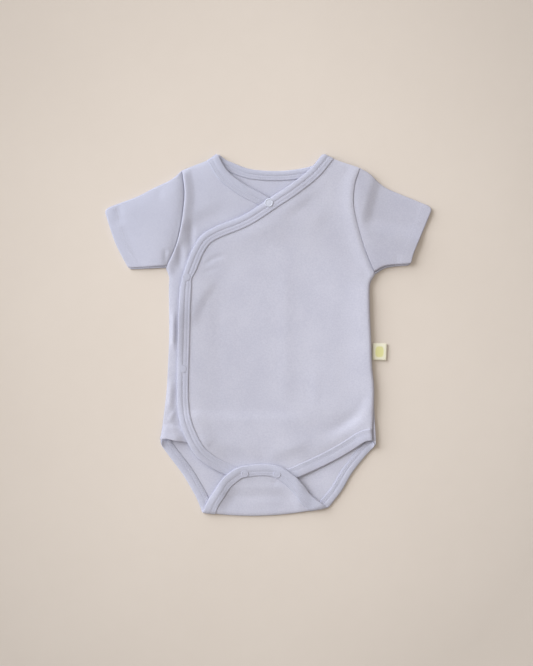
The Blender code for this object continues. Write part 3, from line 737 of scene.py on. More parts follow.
@dataclass(frozen=True)
class RibbonFinish:
    """Woven ribbon: a pale border round a plain tinted field."""

    name: str = "label_ribbon"
    border: Triple = (0.80, 0.77, 0.62)
    field_colour: Triple = (0.72, 0.70, 0.33)
    oval: tuple[float, float] = (4.4, 5.8)      # half the field's width and height
    pitch: float = 0.32         # between threads

    def material(self) -> bpy.types.Material:
        """Makes the finish, on the piece's map in metres from the middle of its face."""
        graph = Graph(self.name)
        across, down = graph.split(graph.weave())[:2]
        thread = self.pitch * MM
        warp = (across / thread * math.tau).wave() * (down / thread * math.tau).wave()
        graph.bump(warp, 0.03)
        x, y = across.size() / (self.oval[0] * MM), down.size() / (self.oval[1] * MM)
        inside = graph.maths("SMOOTH_MIN", (1.25 - (x * x * x + y * y * y)) * 1.6, 1.0, 0.1)
        inside = graph.maths("MAXIMUM", inside, 0.0)
        graph.look(
            Base_Color=graph.blend(inside + warp * 0.03, self.border, self.field_colour),
            Roughness=0.55 + warp * 0.04,
        )
        return graph.material


@dataclass(frozen=True)
class PlasterFinish:
    """The pale floor that the garment lies on, with a painted pool of light that darkens away from its
    middle.
    """

    name: str = "pale_floor"
    colour: Triple = (0.725, 0.65, 0.59)
    shade: Triple = (0.685, 0.61, 0.55)
    far: Triple = (0.0, 0.0, 0.0)           # painted falloff: what the floor darkens towards, away from the lit middle

    def material(self) -> bpy.types.Material:
        """Makes the finish."""
        graph = Graph(self.name)
        place = graph.place()
        broad, fine = graph.noise(place, 5.0, 4.0), graph.noise(place, 60.0, 5.0)
        x, y = graph.split(place)[:2]
        # painted light: the floor is brighter in a pool at the middle and darker towards its edges
        painted_light_pool = graph.maths("MAXIMUM", 1.0 - x * 0.1 + y * 0.11 - x * x * 1.5 - y * y * 0.9, 0.78)
        plaster = graph.blend(broad * 1.4 - 0.2 + (fine - 0.5) * 0.35, self.shade, self.colour)
        graph.bump(broad * 3 + fine, 0.4, 0.25)
        graph.look(
            Base_Color=graph.blend(painted_light_pool, self.far, plaster), Roughness=0.9, Specular_IOR_Level=0.2,
        )
        return graph.material


KNIT = KnitFinish("cotton_knit", Knitting.INTERLOCK, (0.487, 0.488, 0.59), (0.552, 0.551, 0.648))
# A darker copy of the knit for the left sleeve: painted shade, where less of the window's light falls on it.
SHADED_SLEEVE_KNIT = replace(
    KNIT, name="cotton_knit_sleeve_painted_shade", colour=(0.452, 0.452, 0.55), faded=(0.513, 0.511, 0.604),
)
RIB = KnitFinish(
    "rib_binding", Knitting.RIB, (0.455, 0.462, 0.57), (0.515, 0.518, 0.622), (0.45, 0.468, 0.595),
)
THREAD = PlainFinish("sewing_thread", (0.59, 0.592, 0.695), 0.7)
CAP = PlainFinish("snap_cap", (0.56, 0.58, 0.69), 0.55, coat=0.1)
RIBBON = RibbonFinish()
PLASTER = PlasterFinish()


def linked(name: str, data: bpy.types.ID) -> bpy.types.Object:
    """Adds an object to the scene."""
    made = bpy.data.objects.new(name, data)
    bpy.context.scene.collection.objects.link(made)
    return made


def face_outwards(mesh: bmesh.types.BMesh) -> None:
    """Makes the faces of each closed part of a mesh point outwards.

    Recalculating alone guesses from one outer face, which goes wrong on thin folded walls, so
    each part whose volume then comes out negative is turned.

    Args:
        mesh: the mesh, in one or more closed parts.
    """
    bmesh.ops.recalc_face_normals(mesh, faces=mesh.faces)
    mesh.verts.index_update()
    mesh.faces.index_update()
    parts = np.full(len(mesh.faces), -1)
    count = 0
    for first in mesh.faces:
        if parts[first.index] >= 0:
            continue
        parts[first.index] = count
        waiting = [first]
        while waiting:
            for edge in waiting.pop().edges:
                for face in edge.link_faces:
                    if parts[face.index] < 0:
                        parts[face.index] = count
                        waiting.append(face)
        count += 1
    points = np.array([vert.co for vert in mesh.verts], dtype=float)
    corners = mesh.calc_loop_triangles()
    a, b, c = (points[[corner[i].vert.index for corner in corners]] for i in range(3))
    owner = parts[[corner[0].face.index for corner in corners]]
    volumes = np.bincount(owner, np.einsum("ij,ij->i", a, np.cross(b, c)), count)
    inward = [face for face in mesh.faces if volumes[parts[face.index]] < 0]
    if inward:
        bmesh.ops.reverse_faces(mesh, faces=inward)


@dataclass(frozen=True)
class Cut:
    """The flat cut of what shows of a sheet, from its outline alone, in metres."""

    width: float
    length: float
    area: float | None = None       # where it isn't a rectangle

    @classmethod
    def inside(cls, outline: Array) -> "Cut":
        """The cut inside a closed flat outline.

        Args:
            outline: its points in order, in millimetres.

        Returns:
            The cut, whose width and length are the outline's reach.
        """
        x, y = outline.T
        width, length = np.ptp(outline, axis=0) * MM
        area = abs(x @ np.roll(y, -1) - y @ np.roll(x, -1)) / 2
        return cls(float(width), float(length), float(area) * MM * MM)


@dataclass
class Piece:
    """One finished piece of the garment: its mesh, its finish and what it stands for."""

    name: str
    finish: bpy.types.Material
    nodes: tuple[str, ...]
    slot: str
    held: str = "laid"
    rests_on: tuple[str, ...] = ()
    cut: Cut | None = None

    def make(self, mesh: bmesh.types.BMesh) -> bpy.types.Object:
        """Turns a bmesh into the finished object.

        Args:
            mesh: the piece's closed mesh, in metres.

        Returns:
            The object, which rides on the garment's body.
        """
        face_outwards(mesh)
        data = bpy.data.meshes.new(self.name)
        mesh.to_mesh(data)
        mesh.free()
        data.shade_smooth()
        data.materials.append(self.finish)
        made = linked(self.name, data)
        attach(made, "root")
        if self.nodes:
            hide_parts(*self.nodes)
        log.info("%s: %d triangles", self.name, sum(len(face.vertices) - 2 for face in data.polygons))
        return made


class Weld(Enum):
    """Which opposite sides of a grid are joined."""

    NONE = 0
    ROWS = 1                    # the first column meets the last
    BOTH = 2


Place = Callable[[Array, Array, Array], tuple[Array, Array]]


def grid(columns: int, rows: int, place: Place, wall: bool, weld: Weld = Weld.NONE) -> bmesh.types.BMesh:
    """A grid, or a closed wall between two grids, put in place.

    Args:
        columns: how many faces across.
        rows: how many faces down.
        place: takes column numbers, row numbers and sides (0 below, 1 above), and returns points in
            millimetres and the map of the knit in millimetres.
        wall: whether the grid becomes a wall with two sides.
        weld: which of its sides are joined.

    Returns:
        The mesh, in metres.
    """
    mesh = bmesh.new()
    weave = mesh.loops.layers.uv.new("weave")
    bmesh.ops.create_grid(mesh, x_segments=columns, y_segments=rows, size=0.5)
    if wall:
        copy = bmesh.ops.extrude_face_region(mesh, geom=mesh.faces[:], use_keep_orig=True)
        risen = [item for item in copy["geom"] if isinstance(item, bmesh.types.BMVert)]
        bmesh.ops.translate(mesh, verts=risen, vec=(0.0, 0.0, 1.0))
    where = np.array([vertex.co for vertex in mesh.verts])
    points, knit = place(
        np.round((where[:, 0] + 0.5) * columns).astype(int),
        np.round((0.5 - where[:, 1]) * rows).astype(int), np.round(where[:, 2]).astype(int),
    )
    mesh.verts.index_update()
    for vertex, point in zip(mesh.verts, points * MM):
        vertex.co = point
    knit = knit * MM
    for face in mesh.faces:
        for loop in face.loops:
            loop[weave].uv = knit[loop.vert.index]
    if weld is not Weld.NONE:
        bmesh.ops.remove_doubles(mesh, verts=mesh.verts[:], dist=1e-7)
    if weld is Weld.ROWS:
        bmesh.ops.holes_fill(mesh, edges=[edge for edge in mesh.edges if edge.is_boundary])
    return mesh


def spaced(width: float, step: float) -> tuple[Array, Array]:
    """Shares and offsets of lines across a panel: close ones at each rim, and even ones between.

    Args:
        width: the panel's usual width.
        step: distance between lines.

    Returns:
        Shares of the way across between the rims' last lines, and offsets from those.
    """
    inner = max(2, round((width - 2 * RIM) / step))
    outer = np.array(RIM_LINES[:-1]) - RIM
    shares = np.concatenate([np.zeros(len(outer)), np.linspace(0, 1, inner + 1), np.ones(len(outer))])
    offsets = np.concatenate([outer, np.zeros(inner + 1), -outer[::-1]])
    return shares, offsets


def hem_drop(x: Array, y: Array) -> Array:
    """Where the rows of the underlap's hem lie, which sags a little to its inner side."""
    drop = np.interp(x, (-113.0, -108.0, -96.0, -86.0, -70.0), (0.0, 0.8, -1.7, -3.1, -3.4))
    return y + drop * ramp(-y, 84.0, 110.0)


def rounded(distance: Array, half: float) -> Array:
    """Half the thickness of a wall this far from its rounded edge."""
    share = np.clip(distance / (0.45 * half), 0.0, 1.0)
    return half * np.sqrt(np.maximum(1 - (1 - share) ** 2, 0.03))


@dataclass
class Front:
    """A front panel, from its side seam to its bound edge."""

    piece: Piece
    left: tuple[Array, ...]
    right: tuple[Array, ...]
    rows: Array
    middle: Callable[[Array, Array], Array]
    width: float
    hem_top: float | None = None

    def build(self) -> bpy.types.Object:
        """Makes the panel's shell."""
        shares, offsets = spaced(self.width, ROW_STEP)
        bottom = self.rows[-1]
        sides = [np.column_stack([x_at(self.rows, *side), self.rows]) for side in (self.left, self.right)]
        self.piece.cut = Cut.inside(np.vstack([sides[0], sides[1][::-1]]))

        def place(column: Array, row: Array, side: Array) -> tuple[Array, Array]:
            """Points on the two faces of the panel."""
            y = self.rows[row]
            left, right = x_at(y, *self.left), x_at(y, *self.right)
            margin = np.minimum(RIM, (right - left) / 3)
            x = left + margin + (right - left - 2 * margin) * shares[column]
            x = x + offsets[column] * margin / RIM
            edge = np.minimum(x - left, right - x)
            half = rounded(edge, WALL / 2)
            z = self.middle(x, y)
            if self.hem_top is not None:
                turned = 1 - ramp(y, self.hem_top - 1.0, self.hem_top + 1.5)
                grooves = sum(np.exp(-((y - self.hem_top + depth) / 0.6) ** 2) for depth in HEM_ROWS)
                half = rounded(np.minimum(edge, y - bottom), WALL / 2 + turned * PLY / 2)
                z = z + turned * PLY / 2 - grooves * 0.25 * side
                y = hem_drop(x, y)
            z = z + np.where(side > 0, half, -half)
            return np.column_stack([x, y, z]), np.column_stack([x, y])

        return self.piece.make(grid(len(shares) - 1, len(self.rows) - 1, place, wall=True))


@dataclass
class Back:
    """The back with its crotch extension, folded up as the flap."""

    piece: Piece
    garment: Garment
    column_step: float = 2.1
    shoulder_rows: int = 26

    def build(self) -> bpy.types.Object:
        """Makes the panel's shell."""
        garment = self.garment
        inset = garment.leg.inset(BINDING_FOLD)
        turning = int(inset[:, 1].argmin())
        left_leg, right_leg = inset[:turning + 1], inset[turning:][::-1]

        def unfold(edge: Edge) -> Array:
            """The points of an edge in the fold coordinate."""
            return np.column_stack([edge.line[:, 0], edge.line[:, 1] - fold_middle(edge.line[:, 0])])

        left = np.vstack([unfold(garment.armholes[0]), unfold(garment.sides[0])[1:], left_leg[3:]])
        right = np.vstack([unfold(garment.armholes[1]), unfold(garment.sides[1])[1:], right_leg[3:]])
        neck = garment.neck.inset(BINDING_FOLD)[::-1]
        top = np.vstack([
            garment.shoulders[0].line[:0:-1], neck, garment.shoulders[1].line[1:],
        ])
        flat_top = np.column_stack([top[:, 0], top[:, 1] - fold_middle(top[:, 0])])
        self.piece.cut = Cut.inside(np.vstack([flat_top, right, left[::-1]]))
        low_x, high_x = LEFT_SHOULDER[-1][0], RIGHT_SHOULDER[-1][0]
        shares, offsets = spaced(high_x - low_x, self.column_step)
        starts = low_x + RIM + (high_x - low_x - 2 * RIM) * shares + offsets
        flap_end = inset[turning][1] + 0.15
        folds = np.concatenate([
            np.linspace(322, 100, 56, endpoint=False), np.linspace(100, 6, 48, endpoint=False),
            np.linspace(6, -FOLD_LENGTH - 2, 24, endpoint=False), np.linspace(-FOLD_LENGTH - 2, flap_end, 28),
        ])
        upper = self.shoulder_rows

        def place(column: Array, row: Array, side: Array) -> tuple[Array, Array]:
            """Points on the two faces of the panel."""
            fold = folds[np.maximum(row - upper, 0)]
            ends = [x_at(fold, left), x_at(fold, right)]
            margin = np.minimum(RIM, (ends[1] - ends[0]) / 3)
            x = ends[0] + margin + (ends[1] - ends[0] - 2 * margin) * shares[column]
            x = x + offsets[column] * margin / RIM
            rise = np.maximum(1 - row / upper, 0.0)
            sides = []
            for armhole in garment.armholes:
                line = armhole.line
                low = fold_middle(line[0][0]) + folds[0]
                sides.append(x_at(low + (line[0][1] - low) * rise, line))
            over = sides[0] + RIM + (sides[1] - sides[0] - 2 * RIM) * shares[column] + offsets[column]
            x = np.where(row < upper, over, x)
            low = fold_middle(x) + fold
            high = np.interp(starts[column], top[:, 0], top[:, 1])
            y = low + (high - low) * rise
            folded = garment.on_folded_back(
                x, np.where(row < upper, y - fold_middle(x), fold),
                self.half(
                    x, np.where(row < upper, sides, ends), np.where(row < upper, (1 - rise) * 40, 40), side,
                ),
            )
            return folded, np.column_stack([x, np.where(row < upper, y, fold - 180)])

        return self.piece.make(grid(len(shares) - 1, upper + len(folds) - 1, place, wall=True))

    @staticmethod
    def half(x: Array, ends: Array, top: Array, side: Array) -> Array:
        """The signed half thickness, thin at the rounded rims.

        Args:
            x: where across the plan.
            ends: where the row's two ends are.
            top: about how far below the shoulders the row is.
            side: 0 below and 1 above.

        Returns:
            The half thickness, negative below.
        """
        half = rounded(np.minimum(np.minimum(x - ends[0], ends[1] - x), top), WALL / 2)
        return np.where(side > 0, half, -half)


@dataclass
class Binding:
    """A strip folded over a raw edge and stitched down."""

    piece: Piece
    edge: Edge
    place: Callable[[Array, Array, Array], Array]
    width: float = BINDING_WIDTH
    rows: tuple[float, float] = (2.0, 5.0)      # stitch rows, from the inner edge
    mitres: tuple[float, float] = (0.0, 0.0)    # how far each end slants on, per depth
    pinches: tuple[Triple, ...] = ()    # place along, share taken off, reach
    rounded: float = 1.0        # how round the tips of its fold are
    crown: float = 0.25
    groove: float = 0.2
    end: float = 0.42           # how far its face comes down at its inner edge
    pressed: float = 1.0        # share of its thickness that is left
    step: float = 1.8

    def profile(self) -> Array:
        """The strip's U section as points of depth from the edge, and height."""
        a, b, w = BINDING_FACE, BINDING_TOP, self.width
        fold = [
            (b * (1 - math.cos(t)), b * math.sin(t)) for t in np.linspace(-math.pi / 2, math.pi / 2, 13)
        ]
        depths = np.concatenate([
            np.linspace(b, w - self.rows[1] - 1.0, 7)[1:], w - self.rows[1] + np.array([-0.5, 0.0, 0.5, 1.0]),
            w - self.rows[0] + np.array([-1.1, -0.5, 0.0, 0.5, 0.9]), [w - 0.55, w - 0.15],
        ])
        face = list(zip(depths, self.top(depths, self.groove)))
        under = list(zip(depths, -self.top(depths, self.groove * 0.6)))[::-1]
        lip = [(w + 0.1, b - self.end - 0.03), (w, a + 0.05)]
        inside = [(w * 0.66, a), (w * 0.33, a), (WALL + 0.4, a * 0.8), (WALL + 0.15, 0.0)]
        turned = [(depth, -height) for depth, height in (lip + inside[:-1])[::-1]]
        return np.array(under + fold + face + lip + inside + turned)

    def top(self, depth: Array, groove: float) -> Array:
        """How high the strip's face stands, with a groove along each row of stitches."""
        b, w = BINDING_TOP, self.width
        share = np.clip((depth - b) / (w - self.rows[1] - b), 0.0, 1.0)
        crown = self.crown * np.sin(math.pi * share) ** 0.8
        grooves = sum(np.exp(-((depth - w + row) / 0.55) ** 2) for row in self.rows)
        end = ramp(depth, w - 0.9, w)
        return b + crown - groove * grooves - self.end * end + 0.06 * ramp(depth, w - 1.6, w - 0.8)

    def section(self, walked: Array, depth: Array) -> Array:
        """The points of the plan at these distances along the strip and depths into it.

        Args:
            walked: distances along the edge.
            depth: depths from the edge, in the same shape.

        Returns:
            The points, with each end slanted and its tip rounded.
        """
        share = 1 - sum(part * np.exp(-((walked - at) / reach) ** 2) for at, part, reach in self.pinches)
        left = self.edge.length - walked
        tip = 2.4
        nearest = np.minimum(np.minimum(walked, left), tip)
        rounding = (tip - np.sqrt(np.maximum(tip ** 2 - (tip - nearest) ** 2, 0.0))) * self.rounded
        inward = self.edge.inward(walked, 3.0)
        along = np.stack([inward[..., 1], -inward[..., 0]], -1)
        slant = self.mitres[0] * np.exp(-walked / 14.0) + self.mitres[1] * np.exp(-left / 14.0)
        into = depth * share + rounding * np.maximum(1 - depth / tip, 0.0)
        return self.edge.at(walked) + inward * into[..., None] + along * (slant * depth)[..., None]

    def build(self) -> bpy.types.Object:
        """Makes the strip."""
        across = 2 * (self.width - BINDING_TOP) + math.pi * (BINDING_TOP - WALL / 2)
        self.piece.cut = Cut(across * MM, self.edge.length * MM)
        profile = self.profile()
        count = max(4, round(self.edge.length / self.step))
        walks = np.linspace(0.0, self.edge.length, count + 1)
        length = np.concatenate([[0.0], np.cumsum(np.linalg.norm(np.diff(profile, axis=0), axis=1))])
        rim = np.minimum(np.minimum(np.arange(count + 1), count - np.arange(count + 1)) / 1.0, 1.0)

        def place(column: Array, row: Array, side: Array) -> tuple[Array, Array]:
            """Points on the strip's faces."""
            around = column % len(profile)
            depth, height = profile[around, 0], profile[around, 1]
            ripple = 0.06 * np.sin(walks[row] * 1.9) * np.sin(walks[row] * 0.37) * (depth > 3)
            point = self.section(walks[row], depth)
            high = np.abs(height + np.sign(height) * ripple) * (0.8 + 0.2 * rim[row]) * self.pressed
            high = np.sign(height) * np.maximum(high, np.minimum(np.abs(height), BINDING_FACE))
            placed = self.place(point[:, 0], point[:, 1], high)
            placed[:, 2] = np.maximum(placed[:, 2], 0.02)
            reach = np.where(column == len(profile), length[-1] + 1.0, length[around])
            return placed, np.column_stack([reach, walks[row]])

        mesh = grid(len(profile), count, place, wall=False, weld=Weld.ROWS)
        return self.piece.make(mesh)

    def stitches(self, pitch: float = 2.4, side: float = 1.0) -> list["Stitch"]:
        """The stitches that hold the strip, along its rows.

        Args:
            pitch: from one to the next.
            side: 1 on the strip's outside, -1 on its inside.

        Returns:
            The stitches.
        """
        made = []
        for row in self.rows:
            depth = self.width - row
            height = side * (float(self.top(np.array(depth), self.groove)) * self.pressed + 0.08)
            made += self.thread(pitch, ((depth, -0.36), (depth, 0.36)), height)
        return made

    def ladder(self, pitch: float = 2.2) -> list["Stitch"]:
        """The loops between the rows, on a seam that shows its back."""
        near_row, far_row = self.width - self.rows[1] - 0.5, self.width - self.rows[0] + 0.5
        made = []
        for lean in (-0.45, 0.45):
            made += self.thread(pitch, ((near_row, lean), (far_row, -lean)), -(BINDING_TOP + 0.1), 0.24)
        return made

    def thread(
        self, pitch: float, ends: Sequence[tuple[float, float]], height: float, radius: float = 0.2,
    ) -> list["Stitch"]:
        """A row of stitches.

        Args:
            pitch: from one to the next.
            ends: for each end of a stitch, its depth into the strip and how many pitches it is on.
            height: over the middle of the cloth.
            radius: of the thread.

        Returns:
            The stitches.
        """
        middles = (np.arange(int(self.edge.length / pitch)) + 0.5) * pitch
        placed = []
        for depth, shift in ends:
            point = self.section(middles + shift * pitch, np.full(len(middles), depth))
            placed.append(self.place(point[:, 0], point[:, 1], np.full(len(middles), height)))
        return [Stitch(*pair, radius=radius) for pair in zip(*placed)]


@dataclass(frozen=True)
class Stitch:
    """One stitch of thread between two points, in millimetres."""

    start: Array
    end: Array
    radius: float = 0.2

    def shaped(self, round_one: Array) -> Array:
        """The points of a unit ball made into the stitch, whose ends dip into the cloth."""
        run = self.end - self.start
        along = run / np.linalg.norm(run)
        across = np.cross((0.0, 0.0, 1.0), along)
        across = across / np.linalg.norm(across)
        axes = np.array([
            run / 2 * 1.12, across * self.radius, np.cross(along, across) * self.radius * 0.8,
        ])
        return (self.start + self.end) / 2 + round_one @ axes


def sew(name: str, stitches: Sequence[Stitch], finish: bpy.types.Material, slot: str) -> bpy.types.Object:
    """Joins stitches into one piece.

    Args:
        name: the piece's name.
        stitches: the stitches.
        finish: their thread.
        slot: the name of its material slot, which the piece keeps and nothing uses.

    Returns:
        The object.
    """
    first = bmesh.new()
    bmesh.ops.create_uvsphere(
        first, u_segments=6, v_segments=4, radius=1.0, matrix=Matrix.Rotation(math.pi / 2, 4, "Y"),
    )
    data = bpy.data.meshes.new(name + "_one")
    first.to_mesh(data)
    first.free()
    mesh = bmesh.new()
    mesh.from_mesh(data)
    bpy.data.meshes.remove(data)
    ball = np.array([vertex.co for vertex in mesh.verts])
    while len(mesh.verts) < len(ball) * len(stitches):
        bmesh.ops.duplicate(mesh, geom=mesh.verts[:] + mesh.edges[:] + mesh.faces[:])
    spare = mesh.verts[:][len(ball) * len(stitches):]
    bmesh.ops.delete(mesh, geom=spare, context="VERTS")
    points = np.concatenate([stitch.shaped(ball) for stitch in stitches]) * MM
    for vertex, point in zip(mesh.verts, points):
        vertex.co = point
    return Piece(name, finish, (), slot).make(mesh)


@dataclass(frozen=True)
class Girth:
    """A point round a flattened sleeve: its share of the way across, and of the thickness."""

    across: float
    rise: float


@dataclass
class Sleeve:
    """A set-in sleeve, flattened, with a turned hem at its open cuff."""

    piece: Piece
    armhole_knots: Knots
    top_knots: Knots
    underarm_knots: Knots
    cuff_knots: Knots
    outward: int
    creases: tuple[Crease, ...]
    thickness: float = 5.2
    cuff_thickness: float = 2.9
    seam_height: float = 2.8
    seam_gap: float = 0.15
    armhole_turn: float = 8.0   # distance over which it fills out
    sharp: float = 0.12         # share of that which it does right beside the seam
    hem_rise: float = 0.3
    shoulder: float = 0.85      # share of the thickness beside its top edge
    corner: float = 0.07        # share of its sides that a corner at the cuff is rounded over

    def __post_init__(self) -> None:
        """Makes the sleeve's edges."""
        self.armhole, self.cuff = Edge(self.armhole_knots), Edge(self.cuff_knots)
        self.top, self.underarm = Edge(self.top_knots), Edge(self.underarm_knots)

    def girth(self) -> list[Girth]:
        """Points round the sleeve, with the underarm seam's lip below the upper layer."""
        top = self.shoulder
        upper = [
            Girth(0.0, 0.5), Girth(0.0015, top - 0.19), Girth(0.005, top - 0.08), Girth(0.014, top - 0.04),
            Girth(0.03, top),
            *(
                Girth(0.03 + 0.915 * share, top + (1 - top) * math.sin(min(share / 0.16, 1.0) * math.pi / 2))
                for share in np.linspace(0, 1, 52)[1:-1]
            ),
            Girth(0.945, 1.0), Girth(0.958, 0.99), Girth(0.967, 0.96), Girth(0.973, 0.86), Girth(0.9755, 0.5),
            Girth(0.978, 0.52), Girth(0.981, 0.62), Girth(0.987, 0.64), Girth(0.993, 0.57),
            Girth(0.998, 0.4),
        ]
        lower = [
            Girth(1.0, 0.16), Girth(0.998, 0.05), Girth(0.99, 0.0),
            *(Girth(0.99 - 0.96 * share, 0.0) for share in np.linspace(0, 1, 30)[1:-1]),
            Girth(0.03, 0.0), Girth(0.016, 0.05), Girth(0.007, 0.16), Girth(0.002, 0.32),
        ]
        return upper + lower

    def plan(self, along: Array, across: Array) -> Array:
        """Points between the four edges, from the armhole to the cuff and from top to underarm."""
        seam = np.array([self.outward * self.seam_gap, 0.0])
        far = np.clip((along - 1 + self.corner) / self.corner, 0.0, 1.0)
        wide = np.clip((np.abs(across - 0.5) - 0.5 + self.corner) / self.corner, 0.0, 1.0)
        along = along - self.corner * far * (1 - np.sqrt(1 - wide ** 2 / 2))
        across = across - self.corner * wide * (1 - np.sqrt(1 - far ** 2 / 2)) * np.sign(across - 0.5)
        u, v = along[:, None], across[:, None]
        ends = (1 - u) * (self.armhole.at(across * self.armhole.length) + seam)
        ends = ends + u * self.cuff.at(across * self.cuff.length)
        sides = (1 - v) * (self.top.at(along * self.top.length) + (1 - u) * seam)
        sides = sides + v * (self.underarm.at(along * self.underarm.length) + (1 - u) * seam)
        corners = (1 - u) * ((1 - v) * (self.top.line[0] + seam) + v * (self.underarm.line[0] + seam))
        corners = corners + u * ((1 - v) * self.cuff.line[0] + v * self.cuff.line[-1])
        return ends + sides - corners

    def length_at(self, across: Array) -> Array:
        """The straight way from the armhole to the cuff, at shares of the way across."""
        start = np.zeros(len(across))
        return np.linalg.norm(self.plan(start + 1, across) - self.plan(start, across), axis=1)

    def width_at(self, along: Array) -> Array:
        """The straight way from the top to the underarm, at shares of the way along."""
        start = np.zeros(len(along))
        return np.linalg.norm(self.plan(along, start + 1) - self.plan(along, start), axis=1)

    def unevenness(self, point: Array) -> Array:
        """How far the creases and a slow swell lift points of the upper layer."""
        x, y = point[:, 0], point[:, 1]
        return lifted(self.creases, x, y) + 0.3 * np.sin(x / 13.0 + y / 19.0)

    def full(self, along: Array, length: Array) -> Array:
        """The sleeve's thickness, which is least at the armhole."""
        walked = along * length
        filled = self.sharp * (1 - np.exp(-walked / 0.5))
        filled = filled + (1 - self.sharp) * (1 - np.exp(-(walked / self.armhole_turn) ** 1.2))
        usual = self.thickness + (self.cuff_thickness - self.thickness) * along
        hem = self.hem_rise * ramp(walked - length, -CUFF_DEPTH - 3.0, -CUFF_DEPTH + 3.0)
        return self.seam_height + (usual - self.seam_height) * filled + hem

    def opened(self) -> Cut:
        """The sleeve's cut, opened at the underarm, with its top edge down the middle.

        Returns:
            The cut all round the tube, without its seams and the layer inside its hem.
        """
        outline = np.vstack([
            self.armhole.line, self.underarm.line, self.cuff.line[::-1], self.top.line[::-1],
        ])
        start, end = self.top.line[[0, -1]]
        ahead = (end - start) / np.linalg.norm(end - start)
        half = (outline - start) @ np.array([[ahead[1], ahead[0]], [-ahead[0], ahead[1]]])
        deep = (self.thickness + self.cuff_thickness) / 2
        sides = deep * (self.top.length + self.underarm.length) * MM * MM
        flat = Cut.inside(half)
        widest = float(np.abs(half[:, 0]).max())
        return Cut(2 * (widest + deep) * MM, flat.length, 2 * flat.area + sides)

    def build(self) -> bpy.types.Object:
        """Makes the sleeve's shell, outside and inside."""
        self.piece.cut = self.opened()
        girth = self.girth()
        across_table = np.array([point.across for point in girth])
        rise_table = np.array([point.rise for point in girth])
        straight = float(self.length_at(np.full(1, 0.5))[0])
        hem = 1 - CUFF_DEPTH / straight
        outside = [(share, 0.0) for share in np.concatenate([
            np.array([0.0, 0.6, 1.4, 2.4]) / straight, np.linspace(3.6 / straight, hem - 0.01, 36),
            np.linspace(hem, 1 - 0.9 / straight, 10),
        ])]
        bevel = 1 - 0.12 / straight
        turn = [(bevel, 0.08), (1.0, 0.35), (1.0, HEM_WALL - 0.35), (bevel, HEM_WALL - 0.08)]
        inside = [(1 - 0.9 / straight, HEM_WALL), (hem, HEM_WALL), (hem - 0.004, WALL)]
        inside += [(share, WALL) for share in np.linspace(hem - 0.02, 0.0, 12)]
        ring = np.array(outside + turn + inside)

        def place(column: Array, row: Array, side: Array) -> tuple[Array, Array]:
            """Points round and along the sleeve."""
            at, along_at = column % len(girth), row % len(ring)
            across, rise = across_table[at], rise_table[at]
            along, wall = ring[along_at, 0], ring[along_at, 1]
            width, length = self.width_at(along), self.length_at(across)
            inner = np.clip(across, wall / width, 1 - wall / width)
            point = self.plan(along, inner)
            full = self.full(along, length)
            height = wall + rise * (full - 2 * wall)
            grooves = sum(np.exp(-(((1 - along) * length - depth) / 0.6) ** 2) for depth in CUFF_ROWS)
            away = ramp(along * length, 0.0, 6.0)
            lift = self.unevenness(point) * away - 0.12 * grooves * (wall < 0.1)
            height = height + (rise > 0.6) * rise * lift
            knit = np.column_stack([across * width + (rise < 0.5) * 7.0, along * length])
            return np.column_stack([point, height]), knit

        return self.piece.make(grid(len(girth), len(ring), place, wall=False, weld=Weld.BOTH))

    def stitches(self, pitch: float = 2.6) -> list[Stitch]:
        """The cuff's two rows of stitches, on the upper layer."""
        made = []
        for depth in CUFF_ROWS:
            count = int(self.cuff.length * 0.93 / pitch)
            across = (np.arange(count) + 0.5) * pitch / self.cuff.length + 0.03
            ends = []
            for shift in (-0.34, 0.34):
                shares = across + shift * pitch / self.cuff.length
                length = self.length_at(shares)
                along = 1 - depth / length
                point = self.plan(along, shares)
                height = self.full(along, length) + self.unevenness(point) - 0.1
                ends.append(np.column_stack([point, height]))
            made += [Stitch(*pair) for pair in zip(*ends)]
        return made


SLEEVE_RIGHT_CREASES = (
    Crease(((-112.0, 158.0), (-114.5, 148.0), (-116.0, 138.0)), -0.35, 4.5),
    Crease(((-109.5, 92.0), (-108.0, 81.0), (-108.5, 73.0)), -0.6, 2.8),
    Crease(((-104.0, 90.0), (-103.5, 80.0), (-105.5, 72.0)), 0.4, 2.8),
    Crease(((-150.0, 135.0), (-158.0, 128.0), (-156.0, 112.0)), -0.6, 6.0),
)
SLEEVE_LEFT_CREASES = (
    Step(((105.0, 96.0), (107.0, 126.0), (110.0, 152.0), (114.0, 192.0)), 0.5, 9.0, 0.3, 0.0),
    Step(
        ((100.0, 108.0), (104.0, 126.0), (108.0, 142.0), (112.5, 156.0), (119.0, 178.0)),
        2.1, 6.5, 0.25, 0.0,
    ),
    Crease(((133.0, 84.0), (135.0, 77.5), (137.0, 73.0)), -0.2, 2.2),
)


